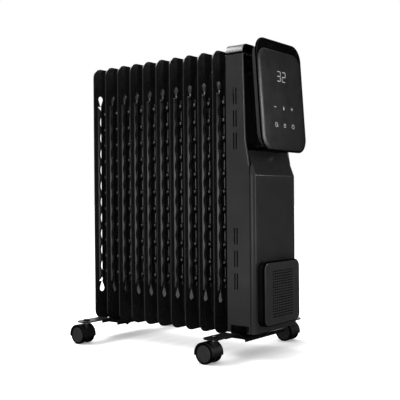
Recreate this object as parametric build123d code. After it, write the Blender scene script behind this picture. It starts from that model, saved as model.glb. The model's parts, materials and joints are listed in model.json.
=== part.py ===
from build123d import *
import math
import os

# Oil filled radiator heater on four twin-wheel casters, with a control pod and a fan heater at one end.
# Millimetres. +X is the control end, -Y the long side that faces the viewer, +Z up, floor at Z = 0.
# While the pieces are made, X = 0 is the middle of the first fin. The finished part is then centred on X.

# Fins
FIN_COUNT = 11
FIN_PITCH = 37.5
FIN_HEIGHT = 570.0
FIN_DEPTH = 150.0
FIN_SHEET = 1.2
FIN_CORNER_R = 22.0
FIN_BOTTOM_Z = 40.0
HEM_WIDTH = 2.5
HEM_THICK = 2.6

# Slots and bent flaps along both long edges of a fin
SLOT_SETBACK = 12.5
SLOT_WIDTH = 10.0
SLOT_END_INSET = 62.0
TEAR_WIDTH = 14.0
TEAR_LENGTH = 24.0
TEAR_SHIFT = 3.5
TEAR_TIP = 1.0
FLAP_REACH = 9.0
FLAP_SWELL = 2.3
WAVE_PITCH = 36.2

# Oil channel of a fin, and the round headers that join one fin to the next
CHANNEL_WIDTH = 78.0
CHANNEL_END_INSET = 24.0
CHANNEL_END_R = 36.0
CHANNEL_HALF = 5.0
CHANNEL_TAPER = 30.0
CHANNEL_WALL = 0.8
BEAD_R = 9.0
BEAD_HALF = 3.5
BEAD_OVERHANG = 5.0
HEADER_R = 27.0
HEADER_WALL = 1.5
HEADER_INSET = 75.0
END_HEADER_REACH = 8.0
HEADER_CAP_LIP = 2.0
HEADER_CAP_THICK = 3.0

# Heating elements in the lower headers
ELEMENT_R = 4.5
ELEMENT_SPREAD = 11.0
ELEMENT_RISE = 10.0
ELEMENT_END_X = 20.0
FLANGE_LIP = 2.0
FLANGE_THICK = 4.0
TERMINAL_R = 2.0
TERMINAL_LENGTH = 8.0

# Side shroud round the last fin
SHROUD_OVERLAP = 3.0
SHROUD_LENGTH = 54.0
SHROUD_WALL = 2.0
SHROUD_LIFT = 10.0
FIN_CLEARANCE = 0.5
BEND_DROP = 235.0
PANEL_TILT = 4.0
FLARE_RISE = 49.0
FLARE_DEPTH = 8.5
FLARE_R = 150.0
EDGE_LEAN = 4.0
CAP_SEAM_DROP = 17.0
STRIP_WIDTH = 9.0
NOTCH_HEIGHT = 14.5
NOTCH_LEFT_LEG = 7.0
NOTCH_RIGHT_LEG = 4.0
VENT_WIDTH = 3.0
VENT_LENGTH = 32.0
VENT_GAP = 3.0
VENT_PITCH = 44.0
VENT_ROWS = 3
VENT_SETBACK = 16.5
VENT_UPPER_DROP = 143.0
VENT_LOWER_RISE = 154.0
SEAM_GROOVE = 1.2

# Top cap
CAP_WALL = 2.0
CAP_HEADROOM = 0.5
CAP_CORNER_R = 14.0
CAP_EDGE_R = 2.0

# End cover
COVER_DEPTH = 10.0
COVER_WALL = 2.2
COVER_EDGE_R = 7.0
SHOULDER_RISE = 30.0
SHOULDER_DROP = 18.0
LIP_REACH = 9.0
LIP_THICK = 1.6
SCREW_R = 1.8
SCREW_HEAD_R = 3.5
SCREW_HEAD_HEIGHT = 2.0
SCREW_HOLE_CLEARANCE = 0.2
SCREW_LENGTH = 7.0
SCREW_COUNT = 3
SCREW_END_INSET = 45.0

# Upper panel and the neck of the pod
PANEL_RECESS = 9.0
PANEL_THICK = 2.5
PANEL_CLEARANCE = 0.3
PANEL_LOW_RISE = 12.0
NECK_WIDTH = 110.0
NECK_HEIGHT = 150.0
NECK_WALL = 3.0
NECK_CORNER_R = 12.0
NECK_RISE = 36.0
RIB_WIDTH = 14.0
RIB_THICK = 9.0

# Control pod
POD_WIDTH = 166.0
POD_HEIGHT = 220.0
POD_CORNER_R = 31.0
POD_INSET = 1.0
POD_TAPER = 6.5
POD_GAP = 21.5
POD_RISE = 25.0
POD_SHELL_DEPTH = 12.0
POD_WALL = 2.2
POD_EDGE_R = 2.0
BEZEL_THICK = 3.5
BEZEL_SIDE = 3.0
BEZEL_TOP = 20.0
BEZEL_LEDGE = 3.0
BEZEL_LEDGE_THICK = 1.3
GLASS_SINK = 0.2
GLASS_CLEARANCE = 0.2
BOARD_THICK = 1.6
BOARD_MARGIN = 18.0
BOARD_STANDOFF = 3.0
STANDOFF_R = 3.0
STANDOFF_INSET = 8.0
DISPLAY_WIDTH = 46.0
DISPLAY_HEIGHT = 30.0
DISPLAY_DROP = 62.0
POWER_BOARD_WIDTH = 100.0
POWER_BOARD_HEIGHT = 60.0
POWER_BOARD_GAP = 3.0
POWER_STANDOFF = 6.0
RELAY_SIDE = 18.0
RELAY_HEIGHT = 10.0
RELAY_PITCH = 26.0
RELAY_COUNT = 3

# Fan heater on the end cover
FAN_BOX_WIDTH = 133.0
FAN_BOX_HEIGHT = 125.0
FAN_BOX_RISE = 13.0
FAN_BOX_DEPTH = 10.5
FAN_BOX_WALL = 2.2
FAN_BOX_CORNER_R = 15.0
GRILLE_THICK = 5.0
GRILLE_EDGE_R = 4.0
LOUVRE_WIDTH = 74.0
LOUVRE_HEIGHT = 2.2
LOUVRE_PITCH = 5.2
LOUVRE_COUNT = 18
LOUVRE_COLUMNS = 11
LOUVRE_BAR = 2.0
LOUVRE_DROP = 1.0
FAN_SIDE = 100.0
FAN_DEPTH = 20.0
FAN_BORE_R = 46.0
FAN_TIP_CLEARANCE = 1.5
FAN_STRUT_WIDTH = 8.0
FAN_STRUT_THICK = 2.2
FAN_STRUT_COUNT = 3
MOTOR_R = 14.0
MOTOR_LENGTH = 9.0
MOTOR_GAP = 0.5
HUB_WALL = 1.5
HUB_FACE = 2.0
SHAFT_R = 1.5
RUNNING_CLEARANCE = 0.05
BLADE_COUNT = 7
BLADE_CHORD = 12.0
BLADE_THICK = 1.4
BLADE_ANGLE = 40.0
PTC_WIDTH = 104.0
PTC_HEIGHT = 104.0
PTC_DEPTH = 9.0
PTC_RIM = 7.0
PTC_BAR = 3.0
PTC_BARS = 9

# Safety devices and the cord inlet
CUTOUT_R = 8.0
CUTOUT_HEIGHT = 6.0
CUTOUT_RISE = 260.0
TAB_WIDTH = 6.0
TAB_THICK = 0.8
TAB_LENGTH = 7.0
TIP_RISE = 66.5
TIP_BASE_WIDTH = 44.0
TIP_BASE_HEIGHT = 56.0
TIP_BASE_THICK = 2.0
TIP_PIN_R = 1.5
TIP_PIN_LENGTH = 12.0
TIP_PIN_HEAD_R = 3.0
TIP_PIN_HEAD = 1.5
TIP_ARM_LENGTH = 24.0
TIP_ARM_WIDTH = 6.0
TIP_ARM_THICK = 5.0
TIP_EYE_R = 4.5
TIP_WEIGHT_R = 8.0
TIP_SIDE_GAP = 0.6
MICROSWITCH_WIDTH = 20.0
MICROSWITCH_HEIGHT = 10.0
MICROSWITCH_DEPTH = 8.0
MICROSWITCH_GAP = 1.5
GLAND_R = 7.0
GLAND_FLANGE_R = 10.0
GLAND_FLANGE = 3.0
GLAND_BORE_R = 4.0
GLAND_RISE = 45.0
GLAND_SETBACK = 18.0

# Foot bars and their clamps
BAR_WIDTH = 50.0
BAR_TAB_WIDTH = 35.0
BAR_SHEET = 2.5
BAR_MIDDLE = 144.0
BAR_SLOPE_RUN = 12.0
BAR_FLANGE = 4.5
BAR_END_R = 14.0
BAR_OVERHANG = 18.5
LEFT_BAR_X = 42.0
RIGHT_BAR_OFFSET = 11.0
CLAMP_FIN = 2
CLAMP_ROD_R = 3.0
CLAMP_GAP = 0.4
CLAMP_HOLE_CLEARANCE = 0.3
CLAMP_TAIL = 3.0
CLAMP_NUT_R = 6.0
CLAMP_NUT_HEIGHT = 7.0
WING_REACH = 7.0
WING_THICK = 3.0
WING_HEIGHT = 5.0

# Casters
CASTER_TRACK = 285.0
CASTER_TRAIL = 12.0
WHEEL_R = 20.0
WHEEL_WIDTH = 9.5
WHEEL_EDGE_R = 1.5
WHEEL_RECESS = 0.6
WHEEL_RECESS_R = 16.5
WHEEL_WEB = 1.6
WEB_HALF = 6.8
WEB_R = 18.5
WHEEL_GAP = 0.4
AXLE_R = 3.0
AXLE_END_GAP = 0.4
HOOD_GAP = 0.7
HOOD_WALL = 1.4
HOOD_SKIRT = 4.0
HOOD_OVERHANG = 0.4
SOCKET_R = 8.5
SOCKET_HEIGHT = 3.0
SOCKET_RISE = 1.0
STEM_R = 4.0
STEM_DEPTH = 29.5
STEM_END_GAP = 0.5
STEM_SHOWN = 2.5
COLLAR_R = 7.0
COLLAR_THICK = 1.5
STEM_HOLE_CLEARANCE = 0.1
STEM_NUT_R = 7.5
STEM_NUT_HEIGHT = 3.0
STEM_TIP = 1.5

# Places worked out from the sizes above
FIN_TOP_Z = FIN_BOTTOM_Z + FIN_HEIGHT
LAST_FIN_X = (FIN_COUNT - 1) * FIN_PITCH
LOW_HEADER_Z = FIN_BOTTOM_Z + HEADER_INSET
HIGH_HEADER_Z = FIN_TOP_Z - HEADER_INSET
LAST_HEADER_X = LAST_FIN_X + FIN_PITCH / 2
FLANGE_X = LAST_HEADER_X + FLANGE_THICK
SHROUD_X = LAST_FIN_X - SHROUD_OVERLAP
SEAM_X = SHROUD_X + SHROUD_LENGTH
BEND_Z = FIN_TOP_Z - BEND_DROP
SHROUD_INNER = FIN_DEPTH / 2 + FIN_CLEARANCE
SHROUD_OUTER = SHROUD_INNER + SHROUD_WALL
SHROUD_BOTTOM_Z = FIN_BOTTOM_Z + SHROUD_LIFT
SHROUD_TOP_Z = FIN_TOP_Z - CAP_SEAM_DROP
CAP_TOP_Z = FIN_TOP_Z + CAP_HEADROOM + CAP_WALL
TILT_SLOPE = math.tan(math.radians(PANEL_TILT))
FLARE_X = SEAM_X - FLARE_DEPTH
FLARE_Z = BEND_Z + FLARE_RISE
UPPER_EDGE_X = FLARE_X - EDGE_LEAN
PANEL_LENGTH = (SHROUD_TOP_Z - BEND_Z) / math.cos(math.radians(PANEL_TILT))
COVER_X = SEAM_X + COVER_DEPTH
COVER_BACK_X = COVER_X - COVER_WALL
BOARD_TOP_Z = HIGH_HEADER_Z - HEADER_R - HEADER_CAP_LIP - POWER_BOARD_GAP
POWER_BOARD_RISE = (BOARD_TOP_Z - BEND_Z) / math.cos(math.radians(PANEL_TILT)) - POWER_BOARD_HEIGHT
FAN_Z = SHROUD_BOTTOM_Z + FAN_BOX_RISE + FAN_BOX_HEIGHT / 2
FAN_BACK_X = COVER_BACK_X - FAN_DEPTH
FAN_BOX_X = COVER_X + FAN_BOX_DEPTH
HUB_R = MOTOR_R + MOTOR_GAP + HUB_WALL
BLADE_TIP_R = FAN_BORE_R - FAN_TIP_CLEARANCE
POD_FRONT = POD_GAP + POD_SHELL_DEPTH
TIP_BASE_X = COVER_BACK_X - TIP_BASE_THICK
TIP_PIVOT_Z = FAN_Z + FAN_SIDE / 2 + TIP_RISE
CUTOUT_Z = FIN_BOTTOM_Z + CUTOUT_RISE
GLAND_Z = SHROUD_BOTTOM_Z + GLAND_RISE
HOOD_R = WHEEL_R + HOOD_GAP + HOOD_WALL
HOOD_TOP_Z = WHEEL_R + HOOD_R
SOCKET_TOP_Z = HOOD_TOP_Z + SOCKET_RISE
TAB_Z = SOCKET_TOP_Z + STEM_SHOWN + COLLAR_THICK
BAR_TOP_Z = FIN_BOTTOM_Z
BAR_LENGTH = CASTER_TRACK + 2 * BAR_OVERHANG
RIGHT_BAR_X = LAST_FIN_X + RIGHT_BAR_OFFSET
CLAMP_R = HEADER_R + CLAMP_GAP + CLAMP_ROD_R
LEFT_CLAMP_X = (CLAMP_FIN - 0.5) * FIN_PITCH
RIGHT_CLAMP_X = (LAST_FIN_X + CHANNEL_HALF + LAST_HEADER_X) / 2


def block(x0, x1, y0, y1, z0, z1):
    """A box between two opposite corners."""
    middle = Pos((x0 + x1) / 2, (y0 + y1) / 2, (z0 + z1) / 2)
    return middle * Box(x1 - x0, y1 - y0, z1 - z0)


def rod_x(radius, x0, x1, y, z):
    """A cylinder along X."""
    return Pos((x0 + x1) / 2, y, z) * Rot(0, 90, 0) * Cylinder(radius, x1 - x0)


def rod_y(radius, y0, y1, x, z):
    """A cylinder along Y."""
    return Pos(x, (y0 + y1) / 2, z) * Rot(90, 0, 0) * Cylinder(radius, y1 - y0)


def rod_z(radius, z0, z1, x, y):
    """A cylinder along Z."""
    return Pos(x, y, (z0 + z1) / 2) * Cylinder(radius, z1 - z0)


def prism_y(points, y0, y1):
    """An outline in X and Z, drawn out along Y."""
    outline = Plane.XZ * make_face(Polyline(*points, close=True))
    return Pos(0, y1, 0) * extrude(outline, y1 - y0)


def rounded_x(width, height, radius, x0, x1, y=0.0, z=0.0):
    """A rounded rectangle in Y and Z, drawn out along X."""
    return Pos(x0, y, z) * extrude(Plane.YZ * RectangleRounded(width, height, radius), x1 - x0)


def narrowed_x(width, height, radius, inset, x0, x1):
    """A rounded block along X whose back end is smaller all round by an inset."""
    front = Pos(x1, 0, 0) * (Plane.YZ * RectangleRounded(width, height, radius))
    back = Pos(x0, 0, 0) * (Plane.YZ * RectangleRounded(width - 2 * inset, height - 2 * inset, radius))
    return loft([back, front])


def tilted(shape):
    """A shape drawn square to the leaning upper panel, put in its place.

    Drawn with X out of the panel and Z up along it, from the bend in the shroud's edge.
    """
    return Pos(SEAM_X, 0, BEND_Z) * Rot(0, -PANEL_TILT, 0) * shape


def slot_limits():
    """Lowest and highest point of a fin's slot, without its teardrop ends."""
    margin = SLOT_END_INSET + TEAR_LENGTH
    return margin, FIN_HEIGHT - margin


def slot_middle():
    """How far a slot's middle line lies from the middle of the fin."""
    return FIN_DEPTH / 2 - SLOT_SETBACK - SLOT_WIDTH / 2


def wave_count():
    """Number of waves along a slot's flap."""
    low, high = slot_limits()
    return round((high - low) / WAVE_PITCH)


def slot_outline(side):
    """One slot of a fin: a long window with a teardrop at each end, its round end outwards."""
    low, high = slot_limits()
    y = side * slot_middle()
    tear_y = side * (slot_middle() - TEAR_SHIFT)
    radius = TEAR_WIDTH / 2
    reach = TEAR_LENGTH - radius
    shoulder = radius * radius / reach
    half = radius * math.sqrt(1 - (radius / reach) ** 2)
    window = Pos(y, (low + high) / 2) * Rectangle(SLOT_WIDTH, high - low)
    for tip, way in ((low, -1), (high, 1)):
        centre = tip + way * reach
        near = centre - way * shoulder
        corners = ((tear_y, tip - way * TEAR_TIP), (tear_y - half, near), (tear_y + half, near))
        window += Pos(tear_y, centre) * Circle(radius) + make_face(Polyline(*corners, close=True))
    return window


def flap(side):
    """The strip bent out of a slot on the slot's outer side, with a wavy free edge and slanting ends."""
    low, high = slot_limits()
    waves = wave_count()
    half = (high - low) / (2 * waves)
    edges = [Line((0, high), (0, low)), Line((0, low), (FLAP_REACH, low + half / 2))]
    for i in range(2 * waves - 1):
        start = low + (i + 0.5) * half
        swell = -FLAP_SWELL if i % 2 else FLAP_SWELL
        middle = (FLAP_REACH + swell, start + half / 2)
        edges.append(ThreePointArc((FLAP_REACH, start), middle, (FLAP_REACH, start + half)))
    edges.append(Line((FLAP_REACH, high - half / 2), (0, high)))
    strip = extrude(Plane.XZ * make_face(edges), FIN_SHEET / 2, both=True)
    return Pos(0, side * (slot_middle() + (SLOT_WIDTH + FIN_SHEET) / 2), 0) * strip


def channel(width, height, radius, half):
    """The pillow pressed into both faces of a fin, with its lower end at Z = 0."""
    outline = Plane.YZ * Pos(0, height / 2) * RectangleRounded(width, height, radius)
    return extrude(outline, half, both=True, taper=CHANNEL_TAPER)


def beads():
    """Round swells along both edges of the oil channel, one to each wave of the flaps."""
    low, high = slot_limits()
    waves = wave_count()
    pitch = (high - low) / waves
    y = CHANNEL_WIDTH / 2 + BEAD_OVERHANG - BEAD_R
    spots = [Pos(side * y, low + (i + 0.5) * pitch) for i in range(waves) for side in (-1, 1)]
    outline = Sketch() + [spot * Circle(BEAD_R) for spot in spots]
    return extrude(Plane.YZ * outline, BEAD_HALF, both=True, taper=CHANNEL_TAPER)


def fin(left_reach):
    """One fin, standing on Z = 0 with its sheet on X = 0."""
    middle = FIN_HEIGHT / 2
    sheet = rounded_x(FIN_DEPTH, FIN_HEIGHT, FIN_CORNER_R, -FIN_SHEET / 2, FIN_SHEET / 2, 0, middle)
    hem = rounded_x(FIN_DEPTH, FIN_HEIGHT, FIN_CORNER_R, -HEM_THICK / 2, HEM_THICK / 2, 0, middle)
    inside = rounded_x(
        FIN_DEPTH - 2 * HEM_WIDTH,
        FIN_HEIGHT - 2 * HEM_WIDTH,
        FIN_CORNER_R - HEM_WIDTH,
        -HEM_THICK,
        HEM_THICK,
        0,
        middle,
    )
    windows = slot_outline(-1) + slot_outline(1)
    body = sheet - extrude(Plane.YZ * windows, HEM_THICK, both=True) + (hem - inside)
    body += [flap(-1), flap(1)]
    height = FIN_HEIGHT - 2 * CHANNEL_END_INSET
    body += Pos(0, 0, CHANNEL_END_INSET) * channel(CHANNEL_WIDTH, height, CHANNEL_END_R, CHANNEL_HALF)
    body += beads()
    headers = (HEADER_INSET, FIN_HEIGHT - HEADER_INSET)
    body += [rod_x(HEADER_R, -left_reach, FIN_PITCH / 2, 0, z) for z in headers]
    oil = Pos(0, 0, CHANNEL_END_INSET + CHANNEL_WALL) * channel(
        CHANNEL_WIDTH - 2 * CHANNEL_WALL,
        height - 2 * CHANNEL_WALL,
        CHANNEL_END_R - CHANNEL_WALL,
        CHANNEL_HALF - CHANNEL_WALL,
    )
    bore = HEADER_R - HEADER_WALL
    return body - [oil] - [rod_x(bore, -left_reach, FIN_PITCH / 2, 0, z) for z in headers]


def header_caps():
    """Discs welded over the open ends of the headers."""
    radius = HEADER_R + HEADER_CAP_LIP
    left = -END_HEADER_REACH - HEADER_CAP_THICK
    caps = [rod_x(radius, left, -END_HEADER_REACH, 0, z) for z in (LOW_HEADER_Z, HIGH_HEADER_Z)]
    right = LAST_HEADER_X + HEADER_CAP_THICK
    return caps + [rod_x(radius, LAST_HEADER_X, right, 0, HIGH_HEADER_Z)]


def heating_tube(z):
    """One hairpin tube, bent back on itself at its far end, with a terminal pin on each leg."""
    turn = Plane.XZ * Circle(ELEMENT_R)
    bend = revolve(Pos(0, ELEMENT_SPREAD, 0) * Rot(0, 0, 90) * turn, Axis.Z, 180)
    tube = Pos(ELEMENT_END_X, 0, z) * bend
    for y in (-ELEMENT_SPREAD, ELEMENT_SPREAD):
        tube += rod_x(ELEMENT_R, ELEMENT_END_X, FLANGE_X, y, z)
        tube += rod_x(TERMINAL_R, FLANGE_X, FLANGE_X + TERMINAL_LENGTH, y, z)
    return tube


def element_levels():
    """Heights of the two heating tubes."""
    return LOW_HEADER_Z - ELEMENT_RISE, LOW_HEADER_Z + ELEMENT_RISE


def element_flange():
    """The plate that closes the last lower header and carries the heating tubes."""
    plate = rod_x(HEADER_R + FLANGE_LIP, LAST_HEADER_X, FLANGE_X, 0, LOW_HEADER_Z)
    hole = ELEMENT_R + RUNNING_CLEARANCE
    for z in element_levels():
        for y in (-ELEMENT_SPREAD, ELEMENT_SPREAD):
            plate -= rod_x(hole, LAST_HEADER_X, FLANGE_X, y, z)
    return plate


def screw_heights():
    """Heights of the screws that hold the end cover to the back of the shroud."""
    low = SHROUD_BOTTOM_Z + SCREW_END_INSET
    high = BEND_Z - SCREW_END_INSET
    return [low + i * (high - low) / (SCREW_COUNT - 1) for i in range(SCREW_COUNT)]


def screw_x():
    """Where the cover screws pass through the shroud and the cover's lip."""
    return SEAM_X - LIP_REACH / 2


def vents():
    """Cutters for the slots in both long sides of the shroud."""
    cuts = []
    left = SHROUD_X + VENT_SETBACK
    for centre in (FIN_TOP_Z - VENT_UPPER_DROP, FIN_BOTTOM_Z + VENT_LOWER_RISE):
        for row in range(VENT_ROWS):
            z = centre + (row - (VENT_ROWS - 1) / 2) * VENT_PITCH
            for x in (left, left + VENT_WIDTH + VENT_GAP):
                low, high = z - VENT_LENGTH / 2, z + VENT_LENGTH / 2
                cuts.append(block(x, x + VENT_WIDTH, -SHROUD_OUTER, SHROUD_OUTER, low, high))
    return cuts


def gland_x():
    """Where the cord inlet passes through the back of the shroud."""
    return SEAM_X - LIP_REACH - GLAND_SETBACK


def outer_pair(edges):
    """The edges furthest to the front and to the back."""
    rows = edges.group_by(Axis.Y)
    return rows[0] + rows[-1]


def shroud_side(y0, y1):
    """One long side of the shroud: upright below the bend, then curved back to a nearly upright edge."""
    outline = [
        (SHROUD_X, SHROUD_BOTTOM_Z),
        (SEAM_X, SHROUD_BOTTOM_Z),
        (SEAM_X, BEND_Z),
        (FLARE_X, FLARE_Z),
        (UPPER_EDGE_X, SHROUD_TOP_Z),
        (SHROUD_X, SHROUD_TOP_Z),
    ]
    side = prism_y(outline, y0, y1)
    levels = side.edges().filter_by(Axis.Y).group_by(Axis.Z)
    return fillet(levels[1] + levels[2], FLARE_R)


def side_shroud():
    """Two long walls round the last fin, tied together at the bottom and the top."""
    walls = shroud_side(-SHROUD_OUTER, -SHROUD_INNER) + shroud_side(SHROUD_INNER, SHROUD_OUTER)
    seams = outer_pair(walls.edges().filter_by(Axis.Z).group_by(Axis.X)[-1])
    seams += outer_pair(walls.edges().filter_by(Axis.X).group_by(Axis.Z)[-1])
    walls = chamfer(seams, SEAM_GROOVE)
    reach = SHROUD_INNER + SHROUD_WALL / 2
    top_low = SHROUD_TOP_Z - SHROUD_WALL
    panel_top_x = SEAM_X - TILT_SLOPE * (SHROUD_TOP_Z - BEND_Z)
    strip_x = panel_top_x - PANEL_RECESS - PANEL_THICK - STRIP_WIDTH
    strip_top = SHROUD_BOTTOM_Z + SHROUD_WALL
    walls += block(SEAM_X - STRIP_WIDTH, SEAM_X, -reach, reach, SHROUD_BOTTOM_Z, strip_top)
    walls += block(strip_x, UPPER_EDGE_X, -reach, reach, top_low, SHROUD_TOP_Z)
    notch_left = SHROUD_X + NOTCH_LEFT_LEG
    notch_right = SEAM_X - NOTCH_RIGHT_LEG
    notch_top = SHROUD_BOTTOM_Z + NOTCH_HEIGHT
    for y0, y1 in ((-SHROUD_OUTER, -SHROUD_INNER), (SHROUD_INNER, SHROUD_OUTER)):
        walls -= block(notch_left, notch_right, y0, y1, SHROUD_BOTTOM_Z, notch_top)
    walls -= vents()
    hole = SCREW_R + SCREW_HOLE_CLEARANCE
    walls -= [rod_y(hole, SHROUD_INNER, SHROUD_OUTER, screw_x(), z) for z in screw_heights()]
    return walls - rod_y(GLAND_R + RUNNING_CLEARANCE, SHROUD_INNER, SHROUD_OUTER, gland_x(), GLAND_Z)


def top_cap():
    """The rounded cap over the top of the shroud, open below and towards the fins."""
    radius = CAP_CORNER_R
    height = CAP_TOP_Z - SHROUD_TOP_Z
    span = 2 * SHROUD_OUTER
    skin = rounded_x(span, 2 * height, radius, SHROUD_X, UPPER_EDGE_X, 0, SHROUD_TOP_Z)
    skin = fillet(skin.faces().sort_by(Axis.X)[-1].edges(), CAP_EDGE_R)
    inside = rounded_x(
        2 * SHROUD_INNER,
        2 * (height - CAP_WALL),
        radius - SHROUD_WALL,
        SHROUD_X,
        UPPER_EDGE_X - CAP_WALL,
        0,
        SHROUD_TOP_Z,
    )
    below = block(SHROUD_X, SEAM_X, -SHROUD_OUTER, SHROUD_OUTER, SHROUD_TOP_Z - height, SHROUD_TOP_Z)
    cap = skin - inside - below
    return chamfer(outer_pair(cap.edges().filter_by(Axis.X).group_by(Axis.Z)[0]), SEAM_GROOVE)


def raised_edges(shape, back, bottom):
    """Edges of a cover's block that lie in front of its back and above its bottom."""
    return shape.edges().filter_by(lambda edge: edge.center().X > back and edge.center().Z > bottom)


def shoulder_end():
    """Where the shoulder of the end cover meets the leaning panel, in X and Z."""
    panel = (PANEL_RECESS - PANEL_CLEARANCE) / math.cos(math.radians(PANEL_TILT)) + TILT_SLOPE * SHOULDER_RISE
    return SEAM_X - panel, BEND_Z + SHOULDER_RISE


def end_cover():
    """The lower end of the housing: a shallow tray with a long sloping shoulder and a fan opening."""
    back, top = shoulder_end()
    face_top = BEND_Z - SHOULDER_DROP
    outer = [
        (SEAM_X, SHROUD_BOTTOM_Z),
        (COVER_X, SHROUD_BOTTOM_Z),
        (COVER_X, face_top),
        (back + COVER_WALL, top),
        (back, top),
        (back, face_top),
        (SEAM_X, face_top),
    ]
    shell = prism_y(outer, -SHROUD_OUTER, SHROUD_OUTER)
    shell = fillet(raised_edges(shell, SEAM_X, SHROUD_BOTTOM_Z), COVER_EDGE_R)
    seams = shell.edges().filter_by(Axis.Z).filter_by(lambda edge: math.isclose(edge.center().X, SEAM_X))
    shell = chamfer(outer_pair(seams), SEAM_GROOVE)
    inner = [
        (back - COVER_WALL, SHROUD_BOTTOM_Z + COVER_WALL),
        (COVER_BACK_X, SHROUD_BOTTOM_Z + COVER_WALL),
        (COVER_BACK_X, face_top),
        (back, top),
        (back - COVER_WALL, top),
    ]
    inside = COVER_EDGE_R - COVER_WALL
    core = prism_y(inner, -SHROUD_OUTER + COVER_WALL, SHROUD_OUTER - COVER_WALL)
    shell -= fillet(raised_edges(core, SEAM_X, SHROUD_BOTTOM_Z + COVER_WALL), inside)
    tongue = SHROUD_INNER - PANEL_CLEARANCE
    shell -= [shroud_side(-SHROUD_OUTER, -tongue), shroud_side(tongue, SHROUD_OUTER)]
    shell -= rod_x(FAN_BORE_R, COVER_BACK_X, COVER_X, 0, FAN_Z)
    low = SHROUD_BOTTOM_Z + NOTCH_HEIGHT
    for y0, y1 in ((-SHROUD_INNER, LIP_THICK - SHROUD_INNER), (SHROUD_INNER - LIP_THICK, SHROUD_INNER)):
        shell += block(SEAM_X - LIP_REACH, COVER_BACK_X - inside, y0, y1, low, face_top)
    hole = SCREW_R - SCREW_HOLE_CLEARANCE
    inner_face = SHROUD_INNER - LIP_THICK
    return shell - [rod_y(hole, inner_face, SHROUD_INNER, screw_x(), z) for z in screw_heights()]


def cover_screws():
    """Pan-head screws in the back of the shroud, through to the cover's lip."""
    screws = []
    for z in screw_heights():
        head = rod_y(SCREW_HEAD_R, SHROUD_OUTER, SHROUD_OUTER + SCREW_HEAD_HEIGHT, screw_x(), z)
        shank_r = SCREW_R - SCREW_HOLE_CLEARANCE - RUNNING_CLEARANCE
        screws.append(head + rod_y(shank_r, SHROUD_OUTER - SCREW_LENGTH, SHROUD_OUTER, screw_x(), z))
    return screws


def upper_panel():
    """The leaning panel behind the pod, with standoffs for the power board."""
    half = SHROUD_INNER - PANEL_CLEARANCE
    front = -PANEL_RECESS
    back = front - PANEL_THICK
    panel = block(back, front, -half, half, PANEL_LOW_RISE, PANEL_LENGTH - SHROUD_WALL)
    opening = Pos(0, 0, NECK_RISE + NECK_HEIGHT / 2) * rounded_x(
        NECK_WIDTH - 2 * NECK_WALL,
        NECK_HEIGHT - 2 * NECK_WALL,
        NECK_CORNER_R - NECK_WALL,
        back - POWER_STANDOFF,
        front,
    )
    panel -= opening & block(back, front, -half, half, POWER_BOARD_RISE + POWER_BOARD_HEIGHT, PANEL_LENGTH)
    for y, z in board_corners(POWER_BOARD_WIDTH, POWER_BOARD_HEIGHT, POWER_BOARD_RISE):
        panel += rod_x(STANDOFF_R, back - POWER_STANDOFF, back, y, z)
    return tilted(panel)


def board_corners(width, height, low):
    """Places of the four standoffs of a circuit board whose lower edge is at a given height."""
    y = width / 2 - STANDOFF_INSET
    levels = (low + STANDOFF_INSET, low + height - STANDOFF_INSET)
    return [(side * y, z) for side in (-1, 1) for z in levels]


def pod_neck():
    """The hollow neck between the upper panel and the pod, with a rib under it."""
    middle = Pos(0, 0, NECK_RISE + NECK_HEIGHT / 2)
    neck = middle * rounded_x(NECK_WIDTH, NECK_HEIGHT, NECK_CORNER_R, -PANEL_RECESS, POD_GAP)
    neck -= middle * rounded_x(
        NECK_WIDTH - 2 * NECK_WALL,
        NECK_HEIGHT - 2 * NECK_WALL,
        NECK_CORNER_R - NECK_WALL,
        -PANEL_RECESS,
        POD_GAP,
    )
    rib = RIB_WIDTH / 2
    neck += block(POD_GAP - RIB_THICK, POD_GAP, -rib, rib, POD_RISE, NECK_RISE + NECK_WALL)
    return tilted(neck)


def pod_middle():
    """Height of the pod's centre above the bend, along the panel."""
    return Pos(0, 0, POD_RISE + POD_HEIGHT / 2)


def control_board_size():
    """Width and height of the board behind the pod's face."""
    return POD_WIDTH - 2 * BOARD_MARGIN, POD_HEIGHT - 2 * BOARD_MARGIN


def pod_back_shell():
    """The pod's back tray, narrower at the back, with standoffs for the control board and a wire way."""
    width, height = POD_WIDTH - 2 * POD_INSET, POD_HEIGHT - 2 * POD_INSET
    corner = POD_CORNER_R - POD_INSET
    floor = POD_GAP + POD_WALL
    tray = narrowed_x(width, height, corner, POD_TAPER, POD_GAP, POD_FRONT)
    rim = tray.faces().sort_by(Axis.X)[0].edges()
    tray = fillet(rim, POD_EDGE_R)
    tray -= narrowed_x(
        width - 2 * POD_WALL,
        height - 2 * POD_WALL,
        corner - POD_WALL,
        POD_TAPER * (POD_FRONT - floor) / POD_SHELL_DEPTH,
        floor,
        POD_FRONT,
    )
    board_width, board_height = control_board_size()
    for y, z in board_corners(board_width, board_height, -board_height / 2):
        tray += rod_x(STANDOFF_R, floor, floor + BOARD_STANDOFF, y, z)
    tray = pod_middle() * tray
    way = NECK_WIDTH / 2 - NECK_WALL
    tray -= block(POD_GAP, floor, -way / 2, way / 2, NECK_RISE + way, NECK_RISE + NECK_HEIGHT - way)
    return tilted(tray)


def glass_size():
    """Width, height and centre height of the pod's face panel, about the pod's centre."""
    width = POD_WIDTH - 2 * BEZEL_SIDE
    height = POD_HEIGHT - BEZEL_SIDE - BEZEL_TOP
    return width, height, (BEZEL_SIDE - BEZEL_TOP) / 2


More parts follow.
